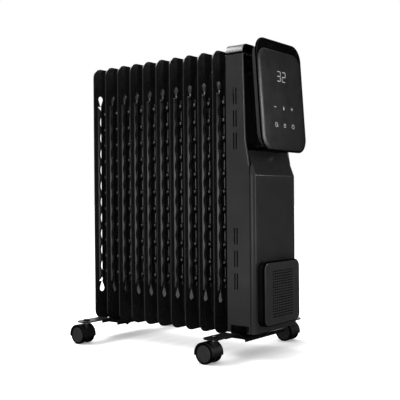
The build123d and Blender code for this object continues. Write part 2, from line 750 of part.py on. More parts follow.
def pod_bezel():
    """The glossy frame round the face panel, deep at the top, with a ledge behind the panel."""
    width, height, rise = glass_size()
    frame = rounded_x(POD_WIDTH, POD_HEIGHT, POD_CORNER_R, POD_FRONT, POD_FRONT + BEZEL_THICK)
    frame = fillet(frame.faces().sort_by(Axis.X)[-1].edges(), POD_EDGE_R)
    corner = POD_CORNER_R - BEZEL_SIDE
    frame -= rounded_x(
        width, height, corner, POD_FRONT + BEZEL_LEDGE_THICK, POD_FRONT + BEZEL_THICK, 0, rise
    )
    frame -= rounded_x(
        width - 2 * BEZEL_LEDGE,
        height - 2 * BEZEL_LEDGE,
        corner - BEZEL_LEDGE,
        POD_FRONT,
        POD_FRONT + BEZEL_LEDGE_THICK,
        0,
        rise,
    )
    return tilted(pod_middle() * frame)


def front_panel():
    """The matt face panel of the pod, with the display and the touch keys behind it."""
    width, height, rise = glass_size()
    face = rounded_x(
        width - 2 * GLASS_CLEARANCE,
        height - 2 * GLASS_CLEARANCE,
        POD_CORNER_R - BEZEL_SIDE - GLASS_CLEARANCE,
        POD_FRONT + BEZEL_LEDGE_THICK,
        POD_FRONT + BEZEL_THICK - GLASS_SINK,
        0,
        rise,
    )
    return tilted(pod_middle() * face)


def board_face():
    """Front of the control board, out from the panel."""
    return POD_GAP + POD_WALL + BOARD_STANDOFF + BOARD_THICK


def control_board():
    """The board that carries the display and the touch sensors."""
    width, height = control_board_size()
    back = board_face() - BOARD_THICK
    board = rounded_x(width, height, STANDOFF_R, back, board_face())
    return tilted(pod_middle() * board)


def display_module():
    """The two-figure display, between the control board and the face panel."""
    z = POD_HEIGHT / 2 - DISPLAY_DROP
    half = DISPLAY_WIDTH / 2
    low, high = z - DISPLAY_HEIGHT / 2, z + DISPLAY_HEIGHT / 2
    box = block(board_face(), POD_FRONT + BEZEL_LEDGE_THICK, -half, half, low, high)
    return tilted(pod_middle() * box)


def power_board():
    """The board with the relays, on standoffs inside the upper panel."""
    face = -PANEL_RECESS - PANEL_THICK - POWER_STANDOFF
    half = POWER_BOARD_WIDTH / 2
    back = face - BOARD_THICK
    low = POWER_BOARD_RISE
    board = block(back, face, -half, half, low, low + POWER_BOARD_HEIGHT)
    middle = low + POWER_BOARD_HEIGHT / 2
    for i in range(RELAY_COUNT):
        y = (i - (RELAY_COUNT - 1) / 2) * RELAY_PITCH
        side = RELAY_SIDE / 2
        board += block(back - RELAY_HEIGHT, back, y - side, y + side, middle - side, middle + side)
    return tilted(board)


def fan_box():
    """The casing of the fan heater that stands out from the end cover."""
    casing = rounded_x(FAN_BOX_WIDTH, FAN_BOX_HEIGHT, FAN_BOX_CORNER_R, COVER_X, FAN_BOX_X)
    casing -= rounded_x(
        FAN_BOX_WIDTH - 2 * FAN_BOX_WALL,
        FAN_BOX_HEIGHT - 2 * FAN_BOX_WALL,
        FAN_BOX_CORNER_R - FAN_BOX_WALL,
        COVER_X,
        FAN_BOX_X,
    )
    return Pos(0, 0, FAN_Z) * casing


def fan_grille():
    """The front of the fan heater, with rows of small air slots."""
    front = FAN_BOX_X + GRILLE_THICK
    face = rounded_x(FAN_BOX_WIDTH, FAN_BOX_HEIGHT, FAN_BOX_CORNER_R, FAN_BOX_X, front)
    face = fillet(face.faces().sort_by(Axis.X)[-1].edges(), GRILLE_EDGE_R)
    slots = []
    pitch = (LOUVRE_WIDTH + LOUVRE_BAR) / LOUVRE_COLUMNS
    half = (pitch - LOUVRE_BAR) / 2
    for i in range(LOUVRE_COUNT):
        z = (i - (LOUVRE_COUNT - 1) / 2) * LOUVRE_PITCH - LOUVRE_DROP
        low, high = z - LOUVRE_HEIGHT / 2, z + LOUVRE_HEIGHT / 2
        for j in range(LOUVRE_COLUMNS):
            y = (j - (LOUVRE_COLUMNS - 1) / 2) * pitch
            slots.append(block(FAN_BOX_X, front, y - half, y + half, low, high))
    return Pos(0, 0, FAN_Z) * (face - slots)


def fan_frame():
    """The square fan frame behind the end cover, with struts that carry the motor."""
    half = FAN_SIDE / 2
    frame = block(FAN_BACK_X, COVER_BACK_X, -half, half, -half, half)
    frame -= rod_x(FAN_BORE_R, FAN_BACK_X, COVER_BACK_X, 0, 0)
    strut_x = FAN_BACK_X + FAN_STRUT_THICK
    frame += rod_x(MOTOR_R, FAN_BACK_X, strut_x, 0, 0)
    reach = FAN_BORE_R + FAN_STRUT_THICK
    for i in range(FAN_STRUT_COUNT):
        width = FAN_STRUT_WIDTH / 2
        strut = block(FAN_BACK_X, strut_x, -width, width, 0, reach)
        frame += Rot(i * 360 / FAN_STRUT_COUNT, 0, 0) * strut
    return Pos(0, 0, FAN_Z) * frame


def motor_front():
    """Front end of the fan motor."""
    return FAN_BACK_X + FAN_STRUT_THICK + MOTOR_LENGTH


def fan_motor():
    """The fan motor on its struts, bored for the fan's shaft."""
    motor = rod_x(MOTOR_R, FAN_BACK_X + FAN_STRUT_THICK, motor_front(), 0, FAN_Z)
    bore = SHAFT_R + RUNNING_CLEARANCE
    return motor - rod_x(bore, FAN_BACK_X + 2 * FAN_STRUT_THICK, motor_front(), 0, FAN_Z)


def fan_impeller():
    """The fan: a cup over the motor, its shaft, and slanted blades."""
    cup_back = FAN_BACK_X + FAN_STRUT_THICK + MOTOR_GAP
    cup_front = motor_front() + MOTOR_GAP + HUB_FACE
    hub = rod_x(HUB_R, cup_back, cup_front, 0, 0)
    blades = hub
    middle = (cup_back + cup_front) / 2
    for i in range(BLADE_COUNT):
        span = BLADE_TIP_R - HUB_R + HUB_WALL
        plate = Pos(middle, 0, BLADE_TIP_R - span / 2) * Rot(0, 0, BLADE_ANGLE) * Box(
            BLADE_THICK, BLADE_CHORD, span
        )
        blades += Rot(i * 360 / BLADE_COUNT, 0, 0) * plate
    blades &= rod_x(BLADE_TIP_R, cup_back - BLADE_CHORD, cup_front + BLADE_CHORD, 0, 0)
    blades -= rod_x(HUB_R - HUB_WALL, cup_back - BLADE_CHORD, motor_front() + MOTOR_GAP, 0, 0)
    shaft_end = FAN_BACK_X + 2 * FAN_STRUT_THICK + MOTOR_GAP
    blades += rod_x(SHAFT_R, shaft_end, cup_front, 0, 0)
    return Pos(0, 0, FAN_Z) * blades


def ptc_heater():
    """The heating grid in front of the fan: a rim with upright bars, seated on the end cover."""
    half_y, half_z = PTC_WIDTH / 2, PTC_HEIGHT / 2
    inner_y, inner_z = half_y - PTC_RIM, half_z - PTC_RIM
    front = COVER_X + PTC_DEPTH
    grid = block(COVER_X, front, -half_y, half_y, -half_z, half_z)
    grid -= block(COVER_X, front, -inner_y, inner_y, -inner_z, inner_z)
    pitch = 2 * inner_y / (PTC_BARS + 1)
    for i in range(PTC_BARS):
        y = -inner_y + (i + 1) * pitch
        grid += block(COVER_X, front, y - PTC_BAR / 2, y + PTC_BAR / 2, -inner_z, inner_z)
    return Pos(0, 0, FAN_Z) * grid


def thermal_cutout():
    """The snap disc that cuts the power, seated on the last fin's oil channel."""
    seat = LAST_FIN_X + CHANNEL_HALF
    top = seat + CUTOUT_HEIGHT
    disc = rod_x(CUTOUT_R, seat, top, 0, CUTOUT_Z)
    half = TAB_WIDTH / 2
    for y in (-half, half):
        edge = TAB_THICK / 2
        disc += block(top, top + TAB_LENGTH, y - edge, y + edge, CUTOUT_Z - half, CUTOUT_Z + half)
    return disc


def tip_switch():
    """The tip-over switch: a base on the end cover, a pivot pin and a switch above it."""
    half = TIP_BASE_WIDTH / 2
    top = TIP_PIVOT_Z + TIP_EYE_R + MICROSWITCH_GAP
    roof = top + MICROSWITCH_HEIGHT
    base = block(TIP_BASE_X, COVER_BACK_X, -half, half, roof - TIP_BASE_HEIGHT, roof)
    tip = TIP_BASE_X - TIP_PIN_LENGTH
    base += rod_x(TIP_PIN_R, tip, TIP_BASE_X, 0, TIP_PIVOT_Z)
    base += rod_x(TIP_PIN_HEAD_R, tip, tip + TIP_PIN_HEAD, 0, TIP_PIVOT_Z)
    side = MICROSWITCH_WIDTH / 2
    return base + block(TIP_BASE_X - MICROSWITCH_DEPTH, TIP_BASE_X, -side, side, top, roof)


def tip_pendulum():
    """The weight that hangs from the tip-over switch's pin and swings when the heater tips."""
    back = TIP_BASE_X - TIP_SIDE_GAP
    front = back - TIP_ARM_THICK
    low = TIP_PIVOT_Z - TIP_ARM_LENGTH
    half = TIP_ARM_WIDTH / 2
    arm = block(front, back, -half, half, low, TIP_PIVOT_Z)
    arm += rod_x(TIP_EYE_R, front, back, 0, TIP_PIVOT_Z)
    arm += rod_x(TIP_WEIGHT_R, front, back, 0, low)
    return arm - rod_x(TIP_PIN_R + RUNNING_CLEARANCE, front, back, 0, TIP_PIVOT_Z)


def cord_gland():
    """The bush in the back of the shroud where the mains lead enters."""
    x = gland_x()
    bush = rod_y(GLAND_R, SHROUD_INNER, SHROUD_OUTER, x, GLAND_Z)
    bush += rod_y(GLAND_FLANGE_R, SHROUD_OUTER, SHROUD_OUTER + GLAND_FLANGE, x, GLAND_Z)
    bush += rod_y(GLAND_FLANGE_R, SHROUD_INNER - SHROUD_WALL, SHROUD_INNER, x, GLAND_Z)
    return bush - rod_y(GLAND_BORE_R, SHROUD_INNER - SHROUD_WALL, SHROUD_OUTER + GLAND_FLANGE, x, GLAND_Z)


def foot_bar(x, clamp_x):
    """A pressed bar across the heater: low and wide under the fins, raised and narrow at the casters."""
    middle = BAR_MIDDLE / 2
    slope = middle + BAR_SLOPE_RUN
    end = BAR_LENGTH / 2
    low = BAR_TOP_Z - BAR_SHEET
    high = TAB_Z + BAR_SHEET
    upper = [(-end, high), (-slope, high), (-middle, BAR_TOP_Z)]
    upper += [(middle, BAR_TOP_Z), (slope, high), (end, high)]
    lower = [(end, TAB_Z), (slope, TAB_Z), (middle, low), (-middle, low), (-slope, TAB_Z), (-end, TAB_Z)]
    outline = Plane.YZ * make_face(Polyline(*upper, *lower, close=True))
    half = BAR_WIDTH / 2
    tab = BAR_TAB_WIDTH / 2
    plan = [(-tab, -end), (-tab, -slope), (-half, -middle), (-half, middle), (-tab, slope), (-tab, end)]
    plan += [(tab, end), (tab, slope), (half, middle), (half, -middle), (tab, -slope), (tab, -end)]
    sides = extrude(make_face(Polyline(*plan, close=True)), high)
    bar = extrude(outline, half, both=True) & sides
    corners = bar.edges().filter_by(Axis.Z)
    bar = fillet(corners.group_by(Axis.Y)[0] + corners.group_by(Axis.Y)[-1], BAR_END_R)
    for edge in (-half, half - BAR_SHEET):
        bar += block(edge, edge + BAR_SHEET, -middle, middle, low - BAR_FLANGE, low)
    bar = Pos(x, 0, 0) * bar
    hole = CLAMP_ROD_R + CLAMP_HOLE_CLEARANCE
    bar -= [rod_z(hole, low, BAR_TOP_Z, clamp_x, y) for y in (-CLAMP_R, CLAMP_R)]
    track = CASTER_TRACK / 2
    return bar - [rod_z(STEM_R + STEM_HOLE_CLEARANCE, TAB_Z, high, x, y) for y in (-track, track)]


def foot_clamp(x):
    """A U-bolt over a lower header, with both legs down through a foot bar."""
    turn = Pos(x, CLAMP_R, 0) * (Plane.XY * Circle(CLAMP_ROD_R))
    bow = Pos(0, 0, LOW_HEADER_Z) * revolve(turn, Axis.X, 180)
    foot = BAR_TOP_Z - BAR_SHEET - CLAMP_NUT_HEIGHT - CLAMP_TAIL
    for y in (-CLAMP_R, CLAMP_R):
        bow += rod_z(CLAMP_ROD_R, foot, LOW_HEADER_Z, x, y)
    return bow


def clamp_nut(x, y):
    """A wing nut under a foot bar."""
    top = BAR_TOP_Z - BAR_SHEET
    low = top - CLAMP_NUT_HEIGHT
    nut = rod_z(CLAMP_NUT_R, low, top, x, y)
    reach = CLAMP_NUT_R + WING_REACH
    half = WING_THICK / 2
    nut += block(x - half, x + half, y - reach, y + reach, low, low + WING_HEIGHT)
    return nut - rod_z(CLAMP_ROD_R + RUNNING_CLEARANCE, low, top, x, y)


def caster_hood(x, y):
    """The fender and web of a twin-wheel caster, bored for its stem and axle."""
    axle_x = x - CASTER_TRAIL
    half = WEB_HALF + WHEEL_GAP + WHEEL_WIDTH + HOOD_OVERHANG
    fender = rod_y(HOOD_R, y - half, y + half, axle_x, WHEEL_R)
    fender -= rod_y(HOOD_R - HOOD_WALL, y - half, y + half, axle_x, WHEEL_R)
    web = rod_y(HOOD_R - HOOD_WALL / 2, y - WEB_HALF, y + WEB_HALF, axle_x, WHEEL_R)
    skirt = WHEEL_R - HOOD_SKIRT
    upper = block(axle_x - HOOD_R, axle_x + HOOD_R, y - half, y + half, skirt, HOOD_TOP_Z)
    hood = (fender + web) & upper
    hood += rod_y(WEB_R, y - WEB_HALF, y + WEB_HALF, axle_x, WHEEL_R)
    hood += rod_z(WEB_HALF, skirt, SOCKET_TOP_Z, x, y)
    hood += rod_z(SOCKET_R, SOCKET_TOP_Z - SOCKET_HEIGHT, SOCKET_TOP_Z, x, y)
    hood -= rod_z(STEM_R + RUNNING_CLEARANCE, SOCKET_TOP_Z - STEM_DEPTH, SOCKET_TOP_Z, x, y)
    return hood - rod_y(AXLE_R + RUNNING_CLEARANCE, y - WEB_HALF, y + WEB_HALF, axle_x, WHEEL_R)


def bore_depth():
    """Depth of the blind axle hole in a wheel."""
    return WHEEL_WIDTH - WHEEL_WEB


def caster_axle(x, y):
    """The steel axle of a caster, held in its web."""
    half = WEB_HALF + WHEEL_GAP + bore_depth() - AXLE_END_GAP
    return rod_y(AXLE_R, y - half, y + half, x - CASTER_TRAIL, WHEEL_R)


def caster_wheel(x, y, way):
    """One wheel of a caster, with a dished outer face and a blind axle hole."""
    wheel = Cylinder(WHEEL_R, WHEEL_WIDTH)
    wheel = fillet(wheel.edges(), WHEEL_EDGE_R)
    top = WHEEL_WIDTH / 2
    wheel -= rod_z(WHEEL_RECESS_R, top - WHEEL_RECESS, top, 0, 0)
    wheel -= rod_z(AXLE_R + RUNNING_CLEARANCE, -top, bore_depth() - top, 0, 0)
    middle = y + way * (WEB_HALF + WHEEL_GAP + top)
    return Pos(x - CASTER_TRAIL, middle, WHEEL_R) * Rot(-90 * way, 0, 0) * wheel


def caster_stem(x, y):
    """A caster's steel stem, with the collar that seats under the foot bar."""
    tip = TAB_Z + BAR_SHEET + STEM_NUT_HEIGHT + STEM_TIP
    stem = rod_z(STEM_R, SOCKET_TOP_Z - STEM_DEPTH + STEM_END_GAP, tip, x, y)
    return stem + rod_z(COLLAR_R, TAB_Z - COLLAR_THICK, TAB_Z, x, y)


def stem_nut(x, y):
    """The nut that holds a caster's stem on the foot bar."""
    low = TAB_Z + BAR_SHEET
    nut = Pos(x, y, low) * extrude(RegularPolygon(STEM_NUT_R, 6), STEM_NUT_HEIGHT)
    return nut - rod_z(STEM_R + RUNNING_CLEARANCE, low, low + STEM_NUT_HEIGHT, x, y)


def caster_places():
    """Name and stem place of each caster."""
    track = CASTER_TRACK / 2
    return {
        "front_left": (LEFT_BAR_X, -track),
        "front_right": (RIGHT_BAR_X, -track),
        "rear_left": (LEFT_BAR_X, track),
        "rear_right": (RIGHT_BAR_X, track),
    }


def radiator_pieces():
    """The fins and what is in and on their headers."""
    pieces = {}
    first, other = fin(END_HEADER_REACH), fin(FIN_PITCH / 2)
    for i in range(FIN_COUNT):
        shape = first if i == 0 else other
        pieces[f"fin_{i + 1:02d}"] = Pos(i * FIN_PITCH, 0, FIN_BOTTOM_Z) * shape
    pieces["header_caps"] = header_caps()
    pieces["heating_tubes"] = [heating_tube(z) for z in element_levels()]
    pieces["element_flange"] = element_flange()
    pieces["thermal_cutout"] = thermal_cutout()
    return pieces


def housing_pieces():
    """The control end: covers, pod, boards, fan heater and tip-over switch."""
    makers = [side_shroud, top_cap, end_cover, cover_screws, cord_gland, upper_panel, pod_neck]
    makers += [pod_back_shell, pod_bezel, front_panel, control_board, display_module, power_board]
    makers += [fan_box, fan_grille, fan_frame, fan_motor, fan_impeller, ptc_heater]
    makers += [tip_switch, tip_pendulum]
    return {maker.__name__: maker() for maker in makers}


def foot_pieces():
    """The foot bars with their clamps, and the four casters."""
    pieces = {}
    pieces["foot_bar_left"] = foot_bar(LEFT_BAR_X, LEFT_CLAMP_X)
    pieces["foot_bar_right"] = foot_bar(RIGHT_BAR_X, RIGHT_CLAMP_X)
    clamps = (LEFT_CLAMP_X, RIGHT_CLAMP_X)
    pieces["foot_clamps"] = [foot_clamp(x) for x in clamps]
    pieces["clamp_nuts"] = [clamp_nut(x, y) for x in clamps for y in (-CLAMP_R, CLAMP_R)]
    places = caster_places()
    pieces["caster_stems"] = [caster_stem(x, y) for x, y in places.values()]
    pieces["stem_nuts"] = [stem_nut(x, y) for x, y in places.values()]
    for name, (x, y) in places.items():
        pieces[f"{name}_hood"] = caster_hood(x, y)
        pieces[f"{name}_axle"] = caster_axle(x, y)
        pieces[f"{name}_wheel_a"] = caster_wheel(x, y, -1)
        pieces[f"{name}_wheel_b"] = caster_wheel(x, y, 1)
    return pieces


def as_shape(piece):
    """One shape for a piece, or for a group of separate pieces."""
    return Compound(children=piece) if isinstance(piece, list) else piece


PIECES = {**radiator_pieces(), **housing_pieces(), **foot_pieces()}
SHAPES = {name: as_shape(piece) for name, piece in PIECES.items()}
LOW_X = min(shape.bounding_box().min.X for shape in SHAPES.values())
HIGH_X = max(shape.bounding_box().max.X for shape in SHAPES.values())
MIDDLE_X = (LOW_X + HIGH_X) / 2

os.makedirs("parts", exist_ok=True)
for name, shape in SHAPES.items():
    export_step(Pos(-MIDDLE_X, 0, 0) * shape, f"parts/{name}.step")
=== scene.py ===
import json
import math

import bmesh
import bpy
from mathutils import Matrix, Quaternion, Vector


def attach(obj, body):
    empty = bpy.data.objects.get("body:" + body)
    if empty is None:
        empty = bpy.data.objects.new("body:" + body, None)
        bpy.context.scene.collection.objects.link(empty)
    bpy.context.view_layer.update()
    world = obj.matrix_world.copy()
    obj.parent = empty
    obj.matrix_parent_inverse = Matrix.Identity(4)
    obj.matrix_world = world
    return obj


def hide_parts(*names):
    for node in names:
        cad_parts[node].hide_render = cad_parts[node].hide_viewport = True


# Looks of an oil filled radiator heater: finishes, face panel, display signs, floor, light and camera.
# Metres, in the part's frame: +X is the control end, -Y the long side towards the viewer, +Z up.

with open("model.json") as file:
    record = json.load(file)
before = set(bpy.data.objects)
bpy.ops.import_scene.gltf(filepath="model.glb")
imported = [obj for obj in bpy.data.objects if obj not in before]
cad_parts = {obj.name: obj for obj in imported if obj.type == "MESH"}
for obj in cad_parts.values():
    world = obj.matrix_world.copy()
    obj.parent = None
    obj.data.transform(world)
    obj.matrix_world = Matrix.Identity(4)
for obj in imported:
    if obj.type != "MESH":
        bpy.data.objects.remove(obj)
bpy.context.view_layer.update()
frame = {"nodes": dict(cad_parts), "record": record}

# Camera, fitted to the photograph's 400 x 400 frame
CAMERA_PLACE = Vector((0.99919, -1.2564, 0.3093))
CAMERA_AZIMUTH = math.radians(37.93)
CAMERA_PITCH = math.radians(0.01)
CAMERA_ROLL = math.radians(-0.48)
CAMERA_LENS_MM = 66.635
CAMERA_SENSOR_MM = 36.0

# Floor and world
FLOOR_SIDE = 60.0
FLOOR_COLOUR = (0.86, 0.86, 0.86, 1.0)
FLOOR_GLOW = 0.66
FLOOR_FADE = (0.45, 0.95)
MIRROR_FADE = (1.3, 2.2)
# Painted contact shadow on the floor: reach of the occlusion, the occlusion at which it is darkest, and
# that darkest share
CONTACT_REACH = 0.07
CONTACT_START = 0.2
CONTACT_SHADE = 0.35
WHITE = (1.0, 1.0, 1.0, 1.0)
WORLD_SEEN = 1.0
WORLD_AMBIENT = 0.35

# Lamps: place, width, height and radiance, where 1 is white
AIM = Vector((0.0, 0.0, 0.3))
LAMPS = {
    "front_softbox": ((0.45, -1.95, 0.34), 1.5, 0.62, 3.2),
    "top_softbox": ((-0.3, 0.2, 2.6), 2.2, 2.2, 1.1),
    "back_softbox": ((-1.5, 1.9, 1.1), 2.0, 1.2, 1.5),
    "end_strip": ((1.72, 1.30, 0.82), 0.36, 0.5, 7.0),
    "cap_strip": ((-0.99, -0.28, 1.88), 2.4, 0.7, 7.0),
}

# Black cards that the camera doesn't see and gloss mirrors: place, width and height
CARD_BLACK = (0.004, 0.004, 0.004, 1.0)
CARDS = {
    "end_card": ((0.523, 0.93, 0.52), 0.86, 1.06),
    "left_card": ((-1.55, -0.1, 0.6), 1.5, 1.2),
    "front_card": ((-1.15, -1.1, 0.6), 2.2, 1.2),
    "side_card": ((1.65, -0.85, 0.5), 0.8, 1.0),
}
FLOOR_CARD_PLACE = (0.0, 0.0, 0.0005)
FLOOR_CARD_SIDE = 2.6

# Noise that clouds a finish and grains it
EVEN = (1.0, 1.0, 1.0)
CLOUD_DETAIL = 3.0
PATCH_DETAIL = 4.0
PATCH_SCALE = 3.1
GRAIN_DETAIL = 2.0
TONE_SPAN = (0.35, 0.65)
PATCH_SPAN = (0.3, 0.7)

# Pressed forms of a fin, which its paint shades: a band is a middle and a half width
FIN_PITCH = 0.0375
FIRST_FIN_X = -0.2250
WAVE_PITCH = 0.03618
WAVE_START = 0.13505
FLAP_BAND = (0.0631, 0.0010)
FLAP_LEAN = 0.42
FLAP_BACK = -0.45
FLAP_ROLL = 0.0052
FLAP_ROLL_SWELL = 0.0015
FLAP_ROLL_SOFT = 0.0008
WALL_BAND = (0.0375, 0.0021)
WALL_LEAN = 1.7
WALL_CURL = (0.0012, 0.0040)
WALL_REACH = 0.195
BEAD_BAND = (0.0421, 0.0025)
BEAD_ROUND = 0.7
BEAD_TURN = 1.5
BOSS_BAND = (0.0, 0.0285)
BOSS_TAPER = 0.36
FIN_MID_HEIGHT = 0.325
BOSS_LEVEL = (0.2215, 0.0185)
BOSS_START = 0.008
BOSS_LIFT = 0.12

# Gloss of a fin's paint over those forms, and a painted highlight on its hemmed edge: a paler colour where
# the edge catches light
PAINT_GLOSS = 0.5
BEAD_GLOSS = 0.5
FLAP_DULLING = 0.20
FLAP_DIM = 0.16
FLAP_DIM_START = 0.40
FLAP_DIM_END = 0.50
MIDDLE_DULLING = 0.24
DULL_BAND = (0.0405, 0.0105)
HEM_HIGHLIGHT_START = 0.0735
HEM_HIGHLIGHT_COLOUR = (0.022, 0.022, 0.0225, 1.0)

# Gloss of the housing, and painted shade on it: sides and seams painted matt black; sides are told by how
# far a normal turns
HOUSING_GLOSS = 0.4
COVER_EDGE_GLOSS = 0.12
COVER_TURN = -0.3
COVER_SEAM = 0.0016
CAP_SEAM = 0.0030
END_TURN = 0.5
SIDE_TURN = 0.5
GRILLE_GLOSS = 0.4
GRILLE_FACE = 0.86
GRILLE_RIGHT = 0.25
BEZEL_GLOSS = 0.25
BEZEL_FACE = 0.9
SHADE_BLACK = (0.0015, 0.0015, 0.0016, 1.0)

# Rounded edges of the housing, shaded by leaning normals; the shroud's lines are a slope and X at height 0
CAP_LEAN = (0.0, 0.0, 1.0)
CREASE_BAND = (0.3562, 0.0009)
CREASE_LEAN = (0.0, -0.09, 0.13)
EDGE_START = 0.372
EDGE_FLARE = (-0.1735, 0.26394)
EDGE_UPPER = (-0.02367, 0.20042)
EDGE_LEAN = (0.38, 0.0, -0.10)

# Caster wheels and their paler discs, whose radius is a share of the wheel's width
WHEEL_MARK = "_wheel_"
WHEEL_MIDDLE = (0.5, 0.5, 0.5)
WHEEL_PLANE = (1.0, 0.0, 1.0)
DISC_SHARE = 0.40
DISC_GLOSS = 0.3
DISC_CLOUD = 90.0
DISC_DARK = (0.024, 0.024, 0.0245)
DISC_LIGHT = (0.030, 0.030, 0.0305)

# Pod face and its crowned panel; a corner is a side, a level and the start of its arc in half turns
PANEL_TILT = math.radians(4.0)
PANEL_CORNER_R = 0.0278
PANEL_CORNER_LEAST = 0.003
PANEL_CROWN = 0.0009
PANEL_CROWN_WIDTH = 0.0104
PANEL_EDGE_R = 0.0008
CORNERS = ((1, 1, 0.0), (-1, 1, 0.5), (-1, -1, 1.0), (1, -1, 1.5))
CORNER_STEPS = 10
CROWN_STEPS = 10
EDGE_STEPS = 4

# Signs on the pod face, measured down from the pod's top
SIGN_THICK = 0.00015
SIGN_SINK = 0.00005
SIGN_GLOW = 0.22
DIGITS_DROP = 0.071
DIGIT_HEIGHT = 0.0192
DIGIT_WIDTH = 0.0118
DIGIT_PITCH = 0.0185
DIGIT_STROKE = 0.0014
DIGIT_GAP = 0.0004
DIGIT_SLANT = math.radians(6.0)
KEY_ROWS = (0.133, 0.168)
KEY_PITCH = 0.0313
KEY_SHIFT = 0.0015
KEY_STROKE = 0.0010
KEY_SIZE = 0.0084
ARC_STEPS = 36

# Forms of the key signs, as shares of half a key's size
FLAME = ((0.0, 1.0), (0.3, 0.2), (0.55, -0.4), (0.2, -1.0), (-0.25, -1.0), (-0.55, -0.4), (-0.3, 0.1))
TIMER_HAND = (1.6, -0.8)
MODE_GAP = 0.7
POWER_BAR = (0.2, 1.3)
POWER_ARC = (math.radians(120), math.radians(300))


# Shader helpers
def link(tree, output, node, name):
    """Joins an output to a named input."""
    tree.links.new(output, node.inputs[name])


def feed(tree, node, values):
    """Fills a node's inputs in order: outputs are joined, numbers and vectors set, and None skipped."""
    for socket, value in zip(node.inputs, values):
        if isinstance(value, bpy.types.NodeSocket):
            tree.links.new(value, socket)
        elif value is not None:
            socket.default_value = value


def combine(tree, operation, *values):
    """The outcome of an operation on up to three values, each an output or a number."""
    node = tree.nodes.new("ShaderNodeMath")
    node.operation = operation
    feed(tree, node, values)
    return node.outputs[0]


def combine_vectors(tree, operation, *values):
    """The outputs of an operation on vectors, each an output or fixed."""
    node = tree.nodes.new("ShaderNodeVectorMath")
    node.operation = operation
    feed(tree, node, values)
    return node.outputs


def object_place(tree, stretch=EVEN):
    """Coordinates in metres on the object, stretched where a grain runs along one direction."""
    mapping = tree.nodes.new("ShaderNodeMapping")
    mapping.inputs["Scale"].default_value = stretch
    link(tree, tree.nodes.new("ShaderNodeTexCoord").outputs["Object"], mapping, "Vector")
    return mapping.outputs["Vector"]


def split(tree, vector):
    """The outputs of a vector along X, Y and Z."""
    parts = tree.nodes.new("ShaderNodeSeparateXYZ")
    link(tree, vector, parts, "Vector")
    return parts.outputs


def surface_normal(tree):
    """The surface's own normal."""
    return tree.nodes.new("ShaderNodeNewGeometry").outputs["Normal"]


def faced(tree):
    """The outputs of the surface's normal along X, Y and Z."""
    return split(tree, surface_normal(tree))


def noise(tree, place, scale, detail):
    """Noise with a number of waves per metre."""
    node = tree.nodes.new("ShaderNodeTexNoise")
    node.inputs["Scale"].default_value = scale
    node.inputs["Detail"].default_value = detail
    link(tree, place, node, "Vector")
    return node.outputs["Fac"]


def spread(tree, value, low, high, start, end):
    """Maps a value that runs from a start to an end onto a range, and holds it within that."""
    node = tree.nodes.new("ShaderNodeMapRange")
    node.inputs["From Min"].default_value = start
    node.inputs["From Max"].default_value = end
    node.inputs["To Min"].default_value = low
    node.inputs["To Max"].default_value = high
    link(tree, value, node, "Value")
    return node.outputs["Result"]


def two_tone(tree, value, dark, light):
    """A colour between two tones, picked by a noise value."""
    ramp = tree.nodes.new("ShaderNodeValToRGB")
    for element, place, tone in zip(ramp.color_ramp.elements, TONE_SPAN, (dark, light)):
        element.position = place
        element.color = (*tone, 1.0)
    link(tree, value, ramp, "Fac")
    return ramp.outputs["Color"]


def bump(tree, height, depth):
    """A normal raised by a height value."""
    node = tree.nodes.new("ShaderNodeBump")
    node.inputs["Strength"].default_value = 1.0
    node.inputs["Distance"].default_value = depth
    link(tree, height, node, "Height")
    return node.outputs["Normal"]


def finish(name, dark, light, rough, cloud, grain, grain_depth, stretch=EVEN, **fixed):
    """A surface with clouded colour and roughness and a fine grain; fixed sockets are set by name."""
    material = bpy.data.materials.new(name)
    material.use_nodes = True
    tree = material.node_tree
    shader = tree.nodes["Principled BSDF"]
    place = object_place(tree, stretch)
    clouds = noise(tree, place, cloud, CLOUD_DETAIL)
    link(tree, two_tone(tree, clouds, dark, light), shader, "Base Color")
    patches = noise(tree, place, cloud * PATCH_SCALE, PATCH_DETAIL)
    link(tree, spread(tree, patches, *rough, *PATCH_SPAN), shader, "Roughness")
    grains = noise(tree, place, grain, GRAIN_DETAIL)
    link(tree, bump(tree, grains, grain_depth), shader, "Normal")
    for socket, value in fixed.items():
        shader.inputs[socket.replace("_", " ")].default_value = value
    return material


def overlay(material, share, colour):
    """Lays a colour, an output or a fixed one, over a share of a finish."""
    tree = material.node_tree
    shader = tree.nodes["Principled BSDF"]
    mix = tree.nodes.new("ShaderNodeMixRGB")
    feed(tree, mix, (share, shader.inputs["Base Color"].links[0].from_socket, colour))
    link(tree, mix.outputs["Color"], shader, "Base Color")


def set_gloss(material, level):
    """Lets a finish's specular level follow an output."""
    tree = material.node_tree
    link(tree, level, tree.nodes["Principled BSDF"], "Specular IOR Level")


def paint_shade_black(material, share, gloss):
    """Paints shade: turns a share of a finish to matt black and leaves the rest at a gloss, an output or a
    number.
    """
    tree = material.node_tree
    overlay(material, share, SHADE_BLACK)
    set_gloss(material, combine(tree, "MULTIPLY", combine(tree, "SUBTRACT", 1.0, share), gloss))


def bent_normal(tree, shift):
    """The surface's normal, leaned by a shift."""
    bent = combine_vectors(tree, "ADD", surface_normal(tree), shift)["Vector"]
    return combine_vectors(tree, "NORMALIZE", bent)["Vector"]


def leaned_normal(tree, share, lean):
    """The surface's normal, leaned one way over a share of the surface."""
    return bent_normal(tree, combine_vectors(tree, "SCALE", lean, None, None, share)["Vector"])


def under_grain(tree, normal):
    """Puts a normal under a finish's grain."""
    grain = next(node for node in tree.nodes if node.type == "BUMP")
    link(tree, normal, grain, "Normal")


# Pressed forms of a fin
def wave(tree, height, start):
    """A wave up the fin with the pitch of the flaps, rising through 0 at a height."""
    turn = 2 * math.pi / WAVE_PITCH
    return combine(tree, "SINE", combine(tree, "MULTIPLY_ADD", height, turn, -start * turn))


